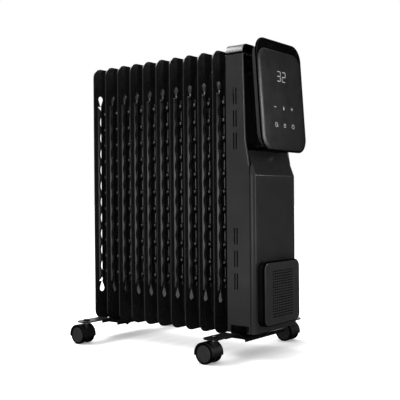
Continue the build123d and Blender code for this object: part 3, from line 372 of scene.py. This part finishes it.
def fin_place(tree):
    """Distance from a fin's sheet along X and its middle along Y, height, and distance from mid-height."""
    place = split(tree, object_place(tree))
    from_first = combine(tree, "SUBTRACT", place["X"], FIRST_FIN_X)
    out = combine(tree, "WRAP", from_first, FIN_PITCH / 2, -FIN_PITCH / 2)
    depth = combine(tree, "ABSOLUTE", place["Y"])
    from_middle = combine(tree, "ABSOLUTE", combine(tree, "SUBTRACT", place["Z"], FIN_MID_HEIGHT))
    return out, depth, place["Z"], from_middle


def flap_lean(tree, out, depth, height):
    """Lean of the flaps, which roll out and back along a wavy line."""
    roll = combine(tree, "MULTIPLY_ADD", wave(tree, height, WAVE_START), FLAP_ROLL_SWELL, FLAP_ROLL)
    past_roll = combine(tree, "SUBTRACT", out, roll)
    lean = spread(tree, past_roll, FLAP_LEAN, FLAP_BACK, -FLAP_ROLL_SOFT, FLAP_ROLL_SOFT)
    return combine(tree, "MULTIPLY", combine(tree, "COMPARE", depth, *FLAP_BAND), lean)


def wall_lean(tree, out, depth, from_middle):
    """Lean of the oil channel's walls, which curl into the sheet."""
    away = combine(tree, "ABSOLUTE", out)
    past_slot = combine(tree, "GREATER_THAN", from_middle, WALL_REACH)
    turned = combine(tree, "MAXIMUM", spread(tree, away, 0.0, 1.0, *WALL_CURL), past_slot)
    slope = combine(tree, "MULTIPLY", turned, WALL_LEAN)
    return combine(tree, "MULTIPLY", combine(tree, "COMPARE", depth, *WALL_BAND), slope)


def boss_share(tree, out, depth, from_middle):
    """1 on the bosses between two fins, else 0."""
    level = combine(tree, "COMPARE", from_middle, *BOSS_LEVEL)
    in_boss = combine(tree, "MULTIPLY", level, combine(tree, "GREATER_THAN", out, BOSS_START))
    return combine(tree, "MULTIPLY", combine(tree, "COMPARE", depth, *BOSS_BAND), in_boss)


def pressed_normal(tree):
    """A normal that follows the rolled flaps, the channel's walls, the beads and the bosses."""
    out, depth, height, from_middle = fin_place(tree)
    flaps = flap_lean(tree, out, depth, height)
    walls = wall_lean(tree, out, depth, from_middle)
    bosses = boss_share(tree, out, depth, from_middle)
    in_bead = combine(tree, "COMPARE", depth, *BEAD_BAND)
    trough = spread(tree, wave(tree, height, WAVE_START), BEAD_TURN, 0.0, -1.0, 1.0)
    hollows = combine(tree, "MULTIPLY", in_bead, trough)
    leans = combine(tree, "MULTIPLY_ADD", bosses, BOSS_TAPER, combine(tree, "ADD", flaps, walls))
    leans = combine(tree, "ADD", leans, hollows)
    crest = wave(tree, height, WAVE_START + WAVE_PITCH / 4)
    beads = combine(tree, "MULTIPLY", combine(tree, "MULTIPLY", in_bead, BEAD_ROUND), crest)
    low_bosses = combine(tree, "MULTIPLY", bosses, combine(tree, "LESS_THAN", height, FIN_MID_HEIGHT))
    lift = combine(tree, "SUBTRACT", BOSS_LIFT, faced(tree)["Z"])
    shift = tree.nodes.new("ShaderNodeCombineXYZ")
    link(tree, combine(tree, "MULTIPLY", leans, combine(tree, "SIGN", out)), shift, "X")
    link(tree, combine(tree, "MULTIPLY_ADD", low_bosses, lift, beads), shift, "Z")
    return bent_normal(tree, shift.outputs["Vector"])


def pressed_gloss(tree):
    """A specular level, raised on the beads and lowered on the flaps, low middle and past the slots."""
    _, depth, height, from_middle = fin_place(tree)
    in_bead = combine(tree, "COMPARE", depth, *BEAD_BAND)
    gloss = combine(tree, "MULTIPLY_ADD", in_bead, BEAD_GLOSS, PAINT_GLOSS)
    low = combine(tree, "LESS_THAN", height, FIN_MID_HEIGHT)
    low_middle = combine(tree, "MULTIPLY", combine(tree, "COMPARE", depth, *BOSS_BAND), low)
    gloss = combine(tree, "MULTIPLY_ADD", low_middle, -MIDDLE_DULLING, gloss)
    dimming = spread(tree, height, FLAP_DULLING, FLAP_DULLING + FLAP_DIM, FLAP_DIM_START, FLAP_DIM_END)
    dulled = combine(tree, "MULTIPLY", combine(tree, "COMPARE", depth, *FLAP_BAND), dimming)
    past_slot = combine(tree, "GREATER_THAN", from_middle, WALL_REACH)
    dulled_ends = combine(tree, "MULTIPLY", combine(tree, "COMPARE", depth, *DULL_BAND), past_slot)
    shown = combine(tree, "SUBTRACT", 1.0, dulled_ends)
    return combine(tree, "MULTIPLY", combine(tree, "SUBTRACT", gloss, dulled), shown)


# Finishes of the part's material slots, and of the nodes that need one of their own
def fin_paint():
    """Satin black baked enamel with a faint orange peel over the fins' pressed forms, and a painted
    highlight on the hemmed edge.
    """
    material = finish(
        "fin_paint", dark=(0.013, 0.013, 0.0133), light=(0.017, 0.017, 0.0174), rough=(0.20, 0.28),
        cloud=18.0, grain=420.0, grain_depth=0.00004,
    )
    tree = material.node_tree
    under_grain(tree, pressed_normal(tree))
    set_gloss(material, pressed_gloss(tree))
    _, depth, _, _ = fin_place(tree)
    # Painted highlight: the hemmed edge is painted a paler colour where it catches light
    overlay(material, combine(tree, "GREATER_THAN", depth, HEM_HIGHLIGHT_START), HEM_HIGHLIGHT_COLOUR)
    return material


def housing_black(name="housing_black"):
    """Fine spark-eroded black plastic."""
    return finish(
        name, dark=(0.031, 0.031, 0.0315), light=(0.037, 0.037, 0.0375), rough=(0.16, 0.22),
        cloud=14.0, grain=1500.0, grain_depth=0.000006, Specular_IOR_Level=HOUSING_GLOSS,
    )


def shroud_black():
    """The housing's plastic on the shroud, whose long sides round off at their upper edges."""
    material = housing_black("shroud_black")
    tree = material.node_tree
    place = split(tree, object_place(tree))
    flare = combine(tree, "MULTIPLY_ADD", place["Z"], *EDGE_FLARE)
    upper = combine(tree, "MULTIPLY_ADD", place["Z"], *EDGE_UPPER)
    past_rim = combine(tree, "GREATER_THAN", place["X"], combine(tree, "MAXIMUM", flare, upper))
    at_rim = combine(tree, "MULTIPLY", past_rim, combine(tree, "GREATER_THAN", place["Z"], EDGE_START))
    side = combine(tree, "GREATER_THAN", combine(tree, "ABSOLUTE", faced(tree)["Y"]), SIDE_TURN)
    under_grain(tree, leaned_normal(tree, combine(tree, "MULTIPLY", at_rim, side), EDGE_LEAN))
    return material


def cover_black():
    """The housing's plastic on the end cover, with a dull near edge, painted shade in matt black along the
    seam, and a rounded crease.
    """
    material = housing_black("cover_black")
    tree = material.node_tree
    place = split(tree, object_place(tree))
    way = faced(tree)
    edge = combine(tree, "LESS_THAN", way["Y"], COVER_TURN)
    gloss = spread(tree, edge, HOUSING_GLOSS, COVER_EDGE_GLOSS, 0.0, 1.0)
    # Painted shade: a strip of the near edge beside the shroud is painted matt black, as a seam in shade
    seam_end = max(vertex.co.x for vertex in frame["nodes"]["side_shroud"].data.vertices) + COVER_SEAM
    seam_shade = combine(tree, "MULTIPLY", edge, combine(tree, "LESS_THAN", place["X"], seam_end))
    end = combine(tree, "GREATER_THAN", way["X"], END_TURN)
    crease = combine(tree, "MULTIPLY", end, combine(tree, "COMPARE", place["Z"], *CREASE_BAND))
    under_grain(tree, leaned_normal(tree, crease, CREASE_LEAN))
    paint_shade_black(material, seam_shade, gloss)
    return material


def cap_black():
    """The housing's plastic on the top cap, whose sides round off upwards, with painted shade in matt
    black on its end and along its lower seam.
    """
    material = housing_black("cap_black")
    tree = material.node_tree
    heights = [vertex.co.z for vertex in frame["nodes"]["top_cap"].data.vertices]
    height = split(tree, object_place(tree))["Z"]
    rise = spread(tree, height, 0.0, 1.0, min(heights), max(heights))
    under_grain(tree, leaned_normal(tree, rise, CAP_LEAN))
    # Painted shade: the end facing the control end and a strip along the lower seam are painted matt black
    end = combine(tree, "GREATER_THAN", faced(tree)["X"], END_TURN)
    seam_shade = combine(tree, "LESS_THAN", height, min(heights) + CAP_SEAM)
    paint_shade_black(material, combine(tree, "MAXIMUM", end, seam_shade), HOUSING_GLOSS)
    return material


def gloss_black(name="gloss_black"):
    """Polished black plastic with faint wiping marks."""
    return finish(
        name, dark=(0.003, 0.003, 0.0033), light=(0.004, 0.004, 0.0043), rough=(0.08, 0.16),
        cloud=22.0, grain=260.0, grain_depth=0.00001, Specular_IOR_Level=BEZEL_GLOSS,
    )


def bezel_black():
    """Polished black plastic on the pod's bezel, whose sides carry painted shade in matt black."""
    material = gloss_black("bezel_black")
    tree = material.node_tree
    # Painted shade: the sides are painted matt black
    paint_shade_black(material, combine(tree, "LESS_THAN", faced(tree)["X"], BEZEL_FACE), BEZEL_GLOSS)
    return material


def box_black():
    """Matt black of the fan heater's casing."""
    return finish(
        "box_black", dark=(0.0015, 0.0015, 0.0016), light=(0.0025, 0.0025, 0.0026), rough=(0.50, 0.62),
        cloud=40.0, grain=1200.0, grain_depth=0.00001, Specular_IOR_Level=0.08,
    )


def grille_black():
    """The housing's plastic on the fan heater's front, painted a little paler as painted light, with
    painted shade in matt black on its sides.
    """
    # Painted light: the front is a paler copy of the housing's plastic
    material = finish(
        "grille_black", dark=(0.035, 0.035, 0.0355), light=(0.041, 0.041, 0.0415), rough=(0.18, 0.24),
        cloud=14.0, grain=1500.0, grain_depth=0.000006,
    )
    tree = material.node_tree
    way = faced(tree)
    # Painted shade: the sides and the right rounding are painted matt black
    turned = combine(tree, "LESS_THAN", way["X"], GRILLE_FACE)
    side = combine(tree, "MAXIMUM", turned, combine(tree, "GREATER_THAN", way["Y"], GRILLE_RIGHT))
    paint_shade_black(material, side, GRILLE_GLOSS)
    return material


def face_grey():
    """Smooth matt charcoal panel."""
    return finish(
        "face_grey", dark=(0.021, 0.021, 0.0215), light=(0.024, 0.024, 0.0247), rough=(0.20, 0.26),
        cloud=12.0, grain=2200.0, grain_depth=0.00001, Specular_IOR_Level=0.35,
    )


def foot_paint():
    """Black paint over pressed steel."""
    return finish(
        "foot_paint", dark=(0.005, 0.005, 0.0053), light=(0.008, 0.008, 0.0085), rough=(0.40, 0.52),
        cloud=30.0, grain=380.0, grain_depth=0.00008, Specular_IOR_Level=0.12,
    )


def caster_black():
    """Moulded nylon of the casters' hoods, a little scuffed."""
    return finish(
        "caster_black", dark=(0.006, 0.006, 0.0062), light=(0.010, 0.010, 0.0104), rough=(0.40, 0.55),
        cloud=60.0, grain=1100.0, grain_depth=0.00004, Specular_IOR_Level=0.3,
    )


def wheel_black():
    """Darker nylon of the wheels, with a paler disc inside each wheel's rim."""
    material = finish(
        "wheel_black", dark=(0.002, 0.002, 0.0021), light=(0.003, 0.003, 0.0031), rough=(0.40, 0.55),
        cloud=60.0, grain=1100.0, grain_depth=0.00004,
    )
    tree = material.node_tree
    place = tree.nodes.new("ShaderNodeTexCoord").outputs["Generated"]
    from_middle = combine_vectors(tree, "SUBTRACT", place, WHEEL_MIDDLE)["Vector"]
    from_axle = combine_vectors(tree, "MULTIPLY", from_middle, WHEEL_PLANE)["Vector"]
    on_disc = combine(tree, "LESS_THAN", combine_vectors(tree, "LENGTH", from_axle)["Value"], DISC_SHARE)
    set_gloss(material, combine(tree, "MULTIPLY", on_disc, DISC_GLOSS))
    clouds = noise(tree, object_place(tree), DISC_CLOUD, CLOUD_DETAIL)
    overlay(material, on_disc, two_tone(tree, clouds, DISC_DARK, DISC_LIGHT))
    return material


def bright_steel():
    """Zinc plated steel with a drawn grain."""
    return finish(
        "bright_steel", dark=(0.50, 0.50, 0.51), light=(0.62, 0.62, 0.63), rough=(0.22, 0.36),
        cloud=70.0, grain=900.0, grain_depth=0.00003, stretch=(1.0, 1.0, 0.15), Metallic=1.0,
    )


def circuit_green():
    """Green solder mask of the boards."""
    return finish(
        "circuit_green", dark=(0.010, 0.070, 0.028), light=(0.018, 0.105, 0.045), rough=(0.25, 0.40),
        cloud=90.0, grain=700.0, grain_depth=0.00003,
    )


def display_black():
    """Smoked cover of the display."""
    return finish(
        "display_black", dark=(0.006, 0.006, 0.008), light=(0.009, 0.009, 0.012), rough=(0.10, 0.18),
        cloud=40.0, grain=300.0, grain_depth=0.00001,
    )


def bare_aluminium():
    """Plain aluminium with a rolled grain."""
    return finish(
        "bare_aluminium", dark=(0.66, 0.66, 0.67), light=(0.78, 0.78, 0.79), rough=(0.28, 0.42),
        cloud=60.0, grain=1000.0, grain_depth=0.00003, stretch=(1.0, 0.12, 1.0), Metallic=1.0,
    )


def inner_plastic():
    """Moulded dark plastic of the inner pieces."""
    return finish(
        "inner_plastic", dark=(0.018, 0.018, 0.019), light=(0.028, 0.028, 0.030), rough=(0.40, 0.55),
        cloud=50.0, grain=1200.0, grain_depth=0.00004,
    )


def gland_rubber():
    """Matt rubber of the cord inlet."""
    return finish(
        "gland_rubber", dark=(0.012, 0.012, 0.012), light=(0.020, 0.020, 0.020), rough=(0.60, 0.78),
        cloud=80.0, grain=1500.0, grain_depth=0.00005,
    )


def sign_white():
    """Lit white of the signs on the face."""
    return finish(
        "sign_white", dark=(0.45, 0.45, 0.45), light=(0.55, 0.55, 0.55), rough=(0.35, 0.45),
        cloud=120.0, grain=900.0, grain_depth=0.00001, Emission_Color=WHITE, Emission_Strength=SIGN_GLOW,
    )


SLOT_FINISHES = {
    make.__name__: make
    for make in (
        fin_paint, housing_black, gloss_black, face_grey, foot_paint, caster_black,
        bright_steel, circuit_green, display_black, bare_aluminium, inner_plastic, gland_rubber,
    )
}
NODE_FINISHES = {
    "fan_box": box_black, "fan_grille": grille_black, "end_cover": cover_black, "top_cap": cap_black,
    "pod_bezel": bezel_black, "side_shroud": shroud_black,
}


def dress_nodes():
    """Gives every solid its slot's finish or one of its own, and returns the finishes by slot."""
    by_slot = {slot: make() for slot, make in SLOT_FINISHES.items()}
    own = {node: make() for node, make in NODE_FINISHES.items()}
    wheels = wheel_black()
    for subpart in frame["record"]["subparts"]:
        node = subpart["node"]
        coat = own.get(node, by_slot[subpart["material_slot"]])
        if WHEEL_MARK in node:
            coat = wheels
        mesh = frame["nodes"][node].data
        mesh.materials.clear()
        mesh.materials.append(coat)
    return by_slot


# Pieces
def face_axes():
    """Right, up and outward directions of the leaning pod face."""
    right = Vector((0.0, 1.0, 0.0))
    up = Vector((-math.sin(PANEL_TILT), 0.0, math.cos(PANEL_TILT)))
    out = Vector((math.cos(PANEL_TILT), 0.0, math.sin(PANEL_TILT)))
    return right, up, out


def face_span(node):
    """Lowest and highest reach of a node along the pod face's three directions."""
    spans = []
    for axis in face_axes():
        reach = [axis.dot(vertex.co) for vertex in frame["nodes"][node].data.vertices]
        spans.append((min(reach), max(reach)))
    return spans


def add_piece(name, mesh, material):
    """Puts a mesh in the scene as a piece that moves with the heater."""
    piece = bpy.data.objects.new(name, mesh)
    bpy.context.scene.collection.objects.link(piece)
    mesh.materials.append(material)
    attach(piece, "heater")
    return piece


def join_loops(mesh, lower, upper):
    """Adds the faces between two closed loops with as many points each."""
    for i in range(len(lower)):
        j = (i + 1) % len(lower)
        mesh.faces.new((lower[i], lower[j], upper[j], upper[i]))


def closed_mesh(name, mesh):
    """Turns the faces of a closed mesh outwards and stores it under a name."""
    bmesh.ops.recalc_face_normals(mesh, faces=mesh.faces)
    data = bpy.data.meshes.new(name)
    mesh.to_mesh(data)
    mesh.free()
    return data


def rounded_outline(width, height, radius):
    """Points of a rounded rectangle about the origin, anticlockwise."""
    points = []
    for side, level, start in CORNERS:
        for i in range(CORNER_STEPS + 1):
            angle = math.pi * (start + 0.5 * i / CORNER_STEPS)
            x = side * (width / 2 - radius) + radius * math.cos(angle)
            y = level * (height / 2 - radius) + radius * math.sin(angle)
            points.append((x, y))
    return points


def crown_profile():
    """Inset and rise of each ring of the face panel, from its rim to where the crown ends."""
    profile = []
    for i in range(EDGE_STEPS + 1):
        angle = math.pi / 2 * i / EDGE_STEPS
        profile.append((PANEL_EDGE_R * (1 - math.cos(angle)), PANEL_EDGE_R * (math.sin(angle) - 1)))
    for i in range(1, CROWN_STEPS + 1):
        share = i / CROWN_STEPS
        inset = PANEL_EDGE_R + PANEL_CROWN_WIDTH * share
        profile.append((inset, PANEL_CROWN * (1 - (1 - share) ** 2)))
    return profile


def face_panel(material):
    """The pod's face panel with a softly crowned rim, in place of the flat solid."""
    (left, right), (bottom, top), (back, front) = face_span("front_panel")
    axes = face_axes()
    middle = ((left + right) / 2, (bottom + top) / 2)
    mesh = bmesh.new()
    loops = []
    for inset, rise in [(0.0, back - front), *crown_profile()]:
        corner = max(PANEL_CORNER_R - inset, PANEL_CORNER_LEAST)
        loop = []
        for x, y in rounded_outline(right - left - 2 * inset, top - bottom - 2 * inset, corner):
            place = axes[0] * (middle[0] + x) + axes[1] * (middle[1] + y) + axes[2] * (front + rise)
            loop.append(mesh.verts.new(place))
        loops.append(loop)
    for lower, upper in zip(loops, loops[1:]):
        join_loops(mesh, lower, upper)
    mesh.faces.new(loops[-1])
    mesh.faces.new(reversed(loops[0]))
    data = closed_mesh("face_panel", mesh)
    for polygon in data.polygons:
        polygon.use_smooth = True
    piece = add_piece("face_panel", data, material)
    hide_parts("front_panel")


def sign_origin():
    """The point of the crowned face under the signs, in its middle and level with the pod's top."""
    right, up, out = face_axes()
    (left_end, right_end), (_, top), _ = face_span("pod_bezel")
    front = face_span("front_panel")[2][1]
    return right * ((left_end + right_end) / 2) + up * top + out * (front + PANEL_CROWN - SIGN_SINK)


def sign_mesh(name, outlines):
    """Thin plates on the pod face from closed outlines in the face's own plane."""
    mesh = bmesh.new()
    origin = sign_origin()
    right, up, out = face_axes()
    for outline in outlines:
        low = [mesh.verts.new(origin + right * x + up * y) for x, y in outline]
        high = [mesh.verts.new(vertex.co + out * SIGN_THICK) for vertex in low]
        mesh.faces.new(high)
        mesh.faces.new(reversed(low))
        join_loops(mesh, low, high)
    return closed_mesh(name, mesh)


def bar(x0, y0, x1, y1, stroke):
    """Outline of a bar with pointed ends between two points."""
    start = Vector((x0, y0))
    end = Vector((x1, y1))
    along = (end - start).normalized()
    side = Vector((-along.y, along.x)) * stroke / 2
    nib = along * stroke / 2
    shape = [start, start + nib - side, end - nib - side, end, end - nib + side, start + nib + side]
    return [tuple(point) for point in shape]


def ring(x, y, radius, stroke, start=0.0, sweep=2 * math.pi):
    """Outlines of short pieces that make up a ring or an arc."""
    outlines = []
    inner, outer = radius - stroke / 2, radius + stroke / 2
    for i in range(ARC_STEPS):
        begin = start + sweep * i / ARC_STEPS
        end = start + sweep * (i + 1) / ARC_STEPS
        outlines.append([
            (x + inner * math.cos(begin), y + inner * math.sin(begin)),
            (x + outer * math.cos(begin), y + outer * math.sin(begin)),
            (x + outer * math.cos(end), y + outer * math.sin(end)),
            (x + inner * math.cos(end), y + inner * math.sin(end)),
        ])
    return outlines


def digit(x, y, segments):
    """Seven-segment figure about a point; segments name the lit bars."""
    side, level = DIGIT_WIDTH / 2, DIGIT_HEIGHT / 2
    ends = {
        "top": (-side, level, side, level),
        "middle": (-side, 0.0, side, 0.0),
        "bottom": (-side, -level, side, -level),
        "upper_right": (side, level, side, 0.0),
        "lower_right": (side, 0.0, side, -level),
        "lower_left": (-side, 0.0, -side, -level),
    }
    lean = math.tan(DIGIT_SLANT)
    outlines = []
    for segment in segments:
        x0, y0, x1, y1 = ends[segment]
        gap = (Vector((x1, y1)) - Vector((x0, y0))).normalized() * DIGIT_GAP
        outline = bar(x0 + gap.x, y0 + gap.y, x1 - gap.x, y1 - gap.y, DIGIT_STROKE)
        outlines.append([(x + along + lean * rise, y + rise) for along, rise in outline])
    return outlines


def display_digits(material):
    """The two lit figures of the display."""
    three = ("top", "upper_right", "middle", "lower_right", "bottom")
    two = ("top", "upper_right", "middle", "lower_left", "bottom")
    outlines = digit(-DIGIT_PITCH / 2, -DIGITS_DROP, three)
    outlines += digit(DIGIT_PITCH / 2, -DIGITS_DROP, two)
    add_piece("display_digits", sign_mesh("display_digits", outlines), material)


def key_outlines():
    """Outlines of the six plain key signs in two rows, by name."""
    half = KEY_SIZE / 2
    upper, lower = -KEY_ROWS[0], -KEY_ROWS[1]
    left, middle, right = (KEY_SHIFT + step * KEY_PITCH for step in (-1, 0, 1))
    hand = (left + TIMER_HAND[0] * half, lower + TIMER_HAND[1] * half)
    lines = [lower + step * MODE_GAP * half for step in (-1, 0, 1)]
    return {
        "key_minus": [bar(left - half, upper, left + half, upper, KEY_STROKE)],
        "key_flame": [[(middle + x * half, upper + y * half) for x, y in FLAME]],
        "key_plus": [
            bar(right - half, upper, right + half, upper, KEY_STROKE),
            bar(right, upper - half, right, upper - KEY_STROKE / 2, KEY_STROKE),
            bar(right, upper + KEY_STROKE / 2, right, upper + half, KEY_STROKE),
        ],
        "key_timer": [*ring(left, lower, half, KEY_STROKE), bar(left, lower, *hand, KEY_STROKE)],
        "key_mode": [bar(middle - half, line, middle + half, line, KEY_STROKE) for line in lines],
        "key_power": [
            *ring(right, lower, half, KEY_STROKE, *POWER_ARC),
            bar(right, lower + POWER_BAR[0] * half, right, lower + POWER_BAR[1] * half, KEY_STROKE),
        ],
    }


def key_signs(material):
    """The key signs, each a piece of its own."""
    for name, outlines in key_outlines().items():
        add_piece(name, sign_mesh(name, outlines), material)


# Stage
def seen_directly(tree):
    """Two outputs: 1 for the camera's rays, and 1 for rays that mirrors and glass send on."""
    path = tree.nodes.new("ShaderNodeLightPath")
    sent_on = combine(tree, "MAXIMUM", path.outputs["Is Glossy Ray"], path.outputs["Is Transmission Ray"])
    return path.outputs["Is Camera Ray"], sent_on


def background(tree, strength):
    """White light of the world at a strength."""
    node = tree.nodes.new("ShaderNodeBackground")
    node.inputs["Color"].default_value = WHITE
    node.inputs["Strength"].default_value = strength
    return node.outputs[0]


def make_world():
    """White behind the object, and a softer white light on it."""
    world = bpy.data.worlds.new("studio")
    world.use_nodes = True
    tree = world.node_tree
    tree.nodes.clear()
    seen = combine(tree, "MAXIMUM", *seen_directly(tree))
    mix = tree.nodes.new("ShaderNodeMixShader")
    feed(tree, mix, (seen, background(tree, WORLD_AMBIENT), background(tree, WORLD_SEEN)))
    output = tree.nodes.new("ShaderNodeOutputWorld")
    link(tree, mix.outputs[0], output, "Surface")
    bpy.context.scene.world = world


def far_share(tree, fade):
    """0 on the floor round the object, 1 further away."""
    return spread(tree, combine_vectors(tree, "LENGTH", object_place(tree))["Value"], 0.0, 1.0, *fade)


def painted_contact_shadow(tree):
    """Painted contact shadow from ambient occlusion: 1 on the open floor, less close to where the object
    stands on it.
    """
    node = tree.nodes.new("ShaderNodeAmbientOcclusion")
    node.inputs["Distance"].default_value = CONTACT_REACH
    return spread(tree, node.outputs["AO"], CONTACT_SHADE, 1.0, CONTACT_START, 1.0)


def flat_sheet(name, width, height, material):
    """A flat rectangle about the origin, put in the scene."""
    x, y = width / 2, height / 2
    mesh = bpy.data.meshes.new(name)
    mesh.from_pydata([(-x, -y, 0), (x, -y, 0), (x, y, 0), (-x, y, 0)], [], [(0, 1, 2, 3)])
    mesh.materials.append(material)
    sheet = bpy.data.objects.new(name, mesh)
    bpy.context.scene.collection.objects.link(sheet)
    return sheet


def floor_white():
    """Pale paper that glows for the camera, less round the object and under a painted contact shadow, and
    for mirrors only far away.
    """
    material = bpy.data.materials.new("floor_white")
    material.use_nodes = True
    tree = material.node_tree
    tree.nodes.clear()
    paper = tree.nodes.new("ShaderNodeBsdfDiffuse")
    paper.inputs["Color"].default_value = FLOOR_COLOUR
    glow = tree.nodes.new("ShaderNodeEmission")
    by_camera, sent_on = seen_directly(tree)
    paleness = spread(tree, far_share(tree, FLOOR_FADE), FLOOR_GLOW, 1.0, 0.0, 1.0)
    # Painted contact shadow: the glow dims where the object stands close
    shaded = combine(tree, "MULTIPLY", paleness, painted_contact_shadow(tree))
    to_camera = combine(tree, "MULTIPLY", shaded, by_camera)
    strength = combine(tree, "MULTIPLY_ADD", far_share(tree, MIRROR_FADE), sent_on, to_camera)
    link(tree, strength, glow, "Strength")
    both = tree.nodes.new("ShaderNodeAddShader")
    feed(tree, both, (paper.outputs[0], glow.outputs[0]))
    output = tree.nodes.new("ShaderNodeOutputMaterial")
    link(tree, both.outputs[0], output, "Surface")
    return material


def make_floor():
    """A plain pale floor that shows white where no shadow lies, and all white further away."""
    floor = flat_sheet("floor", FLOOR_SIDE, FLOOR_SIDE, floor_white())


def facing(place):
    """Turn of a lamp or a card at a place that faces the object."""
    return (AIM - Vector(place)).to_track_quat("-Z", "Y")


def softbox(name, place, width, height, radiance):
    """A rectangular lamp that faces the object."""
    lamp = bpy.data.lights.new(name, "AREA")
    lamp.shape = "RECTANGLE"
    lamp.size = width
    lamp.size_y = height
    lamp.energy = radiance * math.pi * width * height
    holder = bpy.data.objects.new(name, lamp)
    holder.location = place
    holder.rotation_mode = "QUATERNION"
    holder.rotation_quaternion = facing(place)
    holder.visible_camera = False
    bpy.context.scene.collection.objects.link(holder)


def make_lamps():
    """Broad lamps in front, above and behind, a strip beside the control end and one over the top cap."""
    for name, (place, width, height, radiance) in LAMPS.items():
        softbox(name, place, width, height, radiance)


def dark_card(name, place, width, height, turn):
    """A black card that only mirrored rays see."""
    material = bpy.data.materials.new(name)
    material.use_nodes = True
    shader = material.node_tree.nodes["Principled BSDF"]
    shader.inputs["Base Color"].default_value = CARD_BLACK
    shader.inputs["Specular IOR Level"].default_value = 0.0
    card = flat_sheet(name, width, height, material)
    card.location = place
    card.rotation_mode = "QUATERNION"
    card.rotation_quaternion = turn
    card.visible_camera = False
    card.visible_shadow = False
    card.visible_diffuse = False


def make_cards():
    """Cards round the object that face it, and one flat on the floor."""
    for name, (place, width, height) in CARDS.items():
        dark_card(name, place, width, height, facing(place))
    dark_card("floor_card", FLOOR_CARD_PLACE, FLOOR_CARD_SIDE, FLOOR_CARD_SIDE, Quaternion())


def make_camera():
    """The camera at the photograph's place, angle and lens."""
    data = bpy.data.cameras.new("camera")
    data.lens = CAMERA_LENS_MM
    data.sensor_width = CAMERA_SENSOR_MM
    data.clip_end = FLOOR_SIDE
    camera = bpy.data.objects.new("camera", data)
    flat = math.cos(CAMERA_PITCH)
    aside = math.sin(CAMERA_AZIMUTH)
    ahead = math.cos(CAMERA_AZIMUTH)
    back = Vector((aside * flat, -ahead * flat, math.sin(CAMERA_PITCH)))
    right = Vector((ahead, aside, 0.0))
    up = back.cross(right)
    rolled_right = math.cos(CAMERA_ROLL) * right + math.sin(CAMERA_ROLL) * up
    rolled_up = math.cos(CAMERA_ROLL) * up - math.sin(CAMERA_ROLL) * right
    turn = Matrix((rolled_right, rolled_up, back)).transposed()
    camera.matrix_world = Matrix.Translation(CAMERA_PLACE) @ turn.to_4x4()
    bpy.context.scene.collection.objects.link(camera)
    bpy.context.scene.camera = camera


finishes = dress_nodes()
face_panel(finishes["face_grey"])
sign_coat = sign_white()
display_digits(sign_coat)
key_signs(sign_coat)
make_world()
make_floor()
make_lamps()
make_cards()
make_camera()
bpy.context.scene.view_settings.view_transform = "Standard"
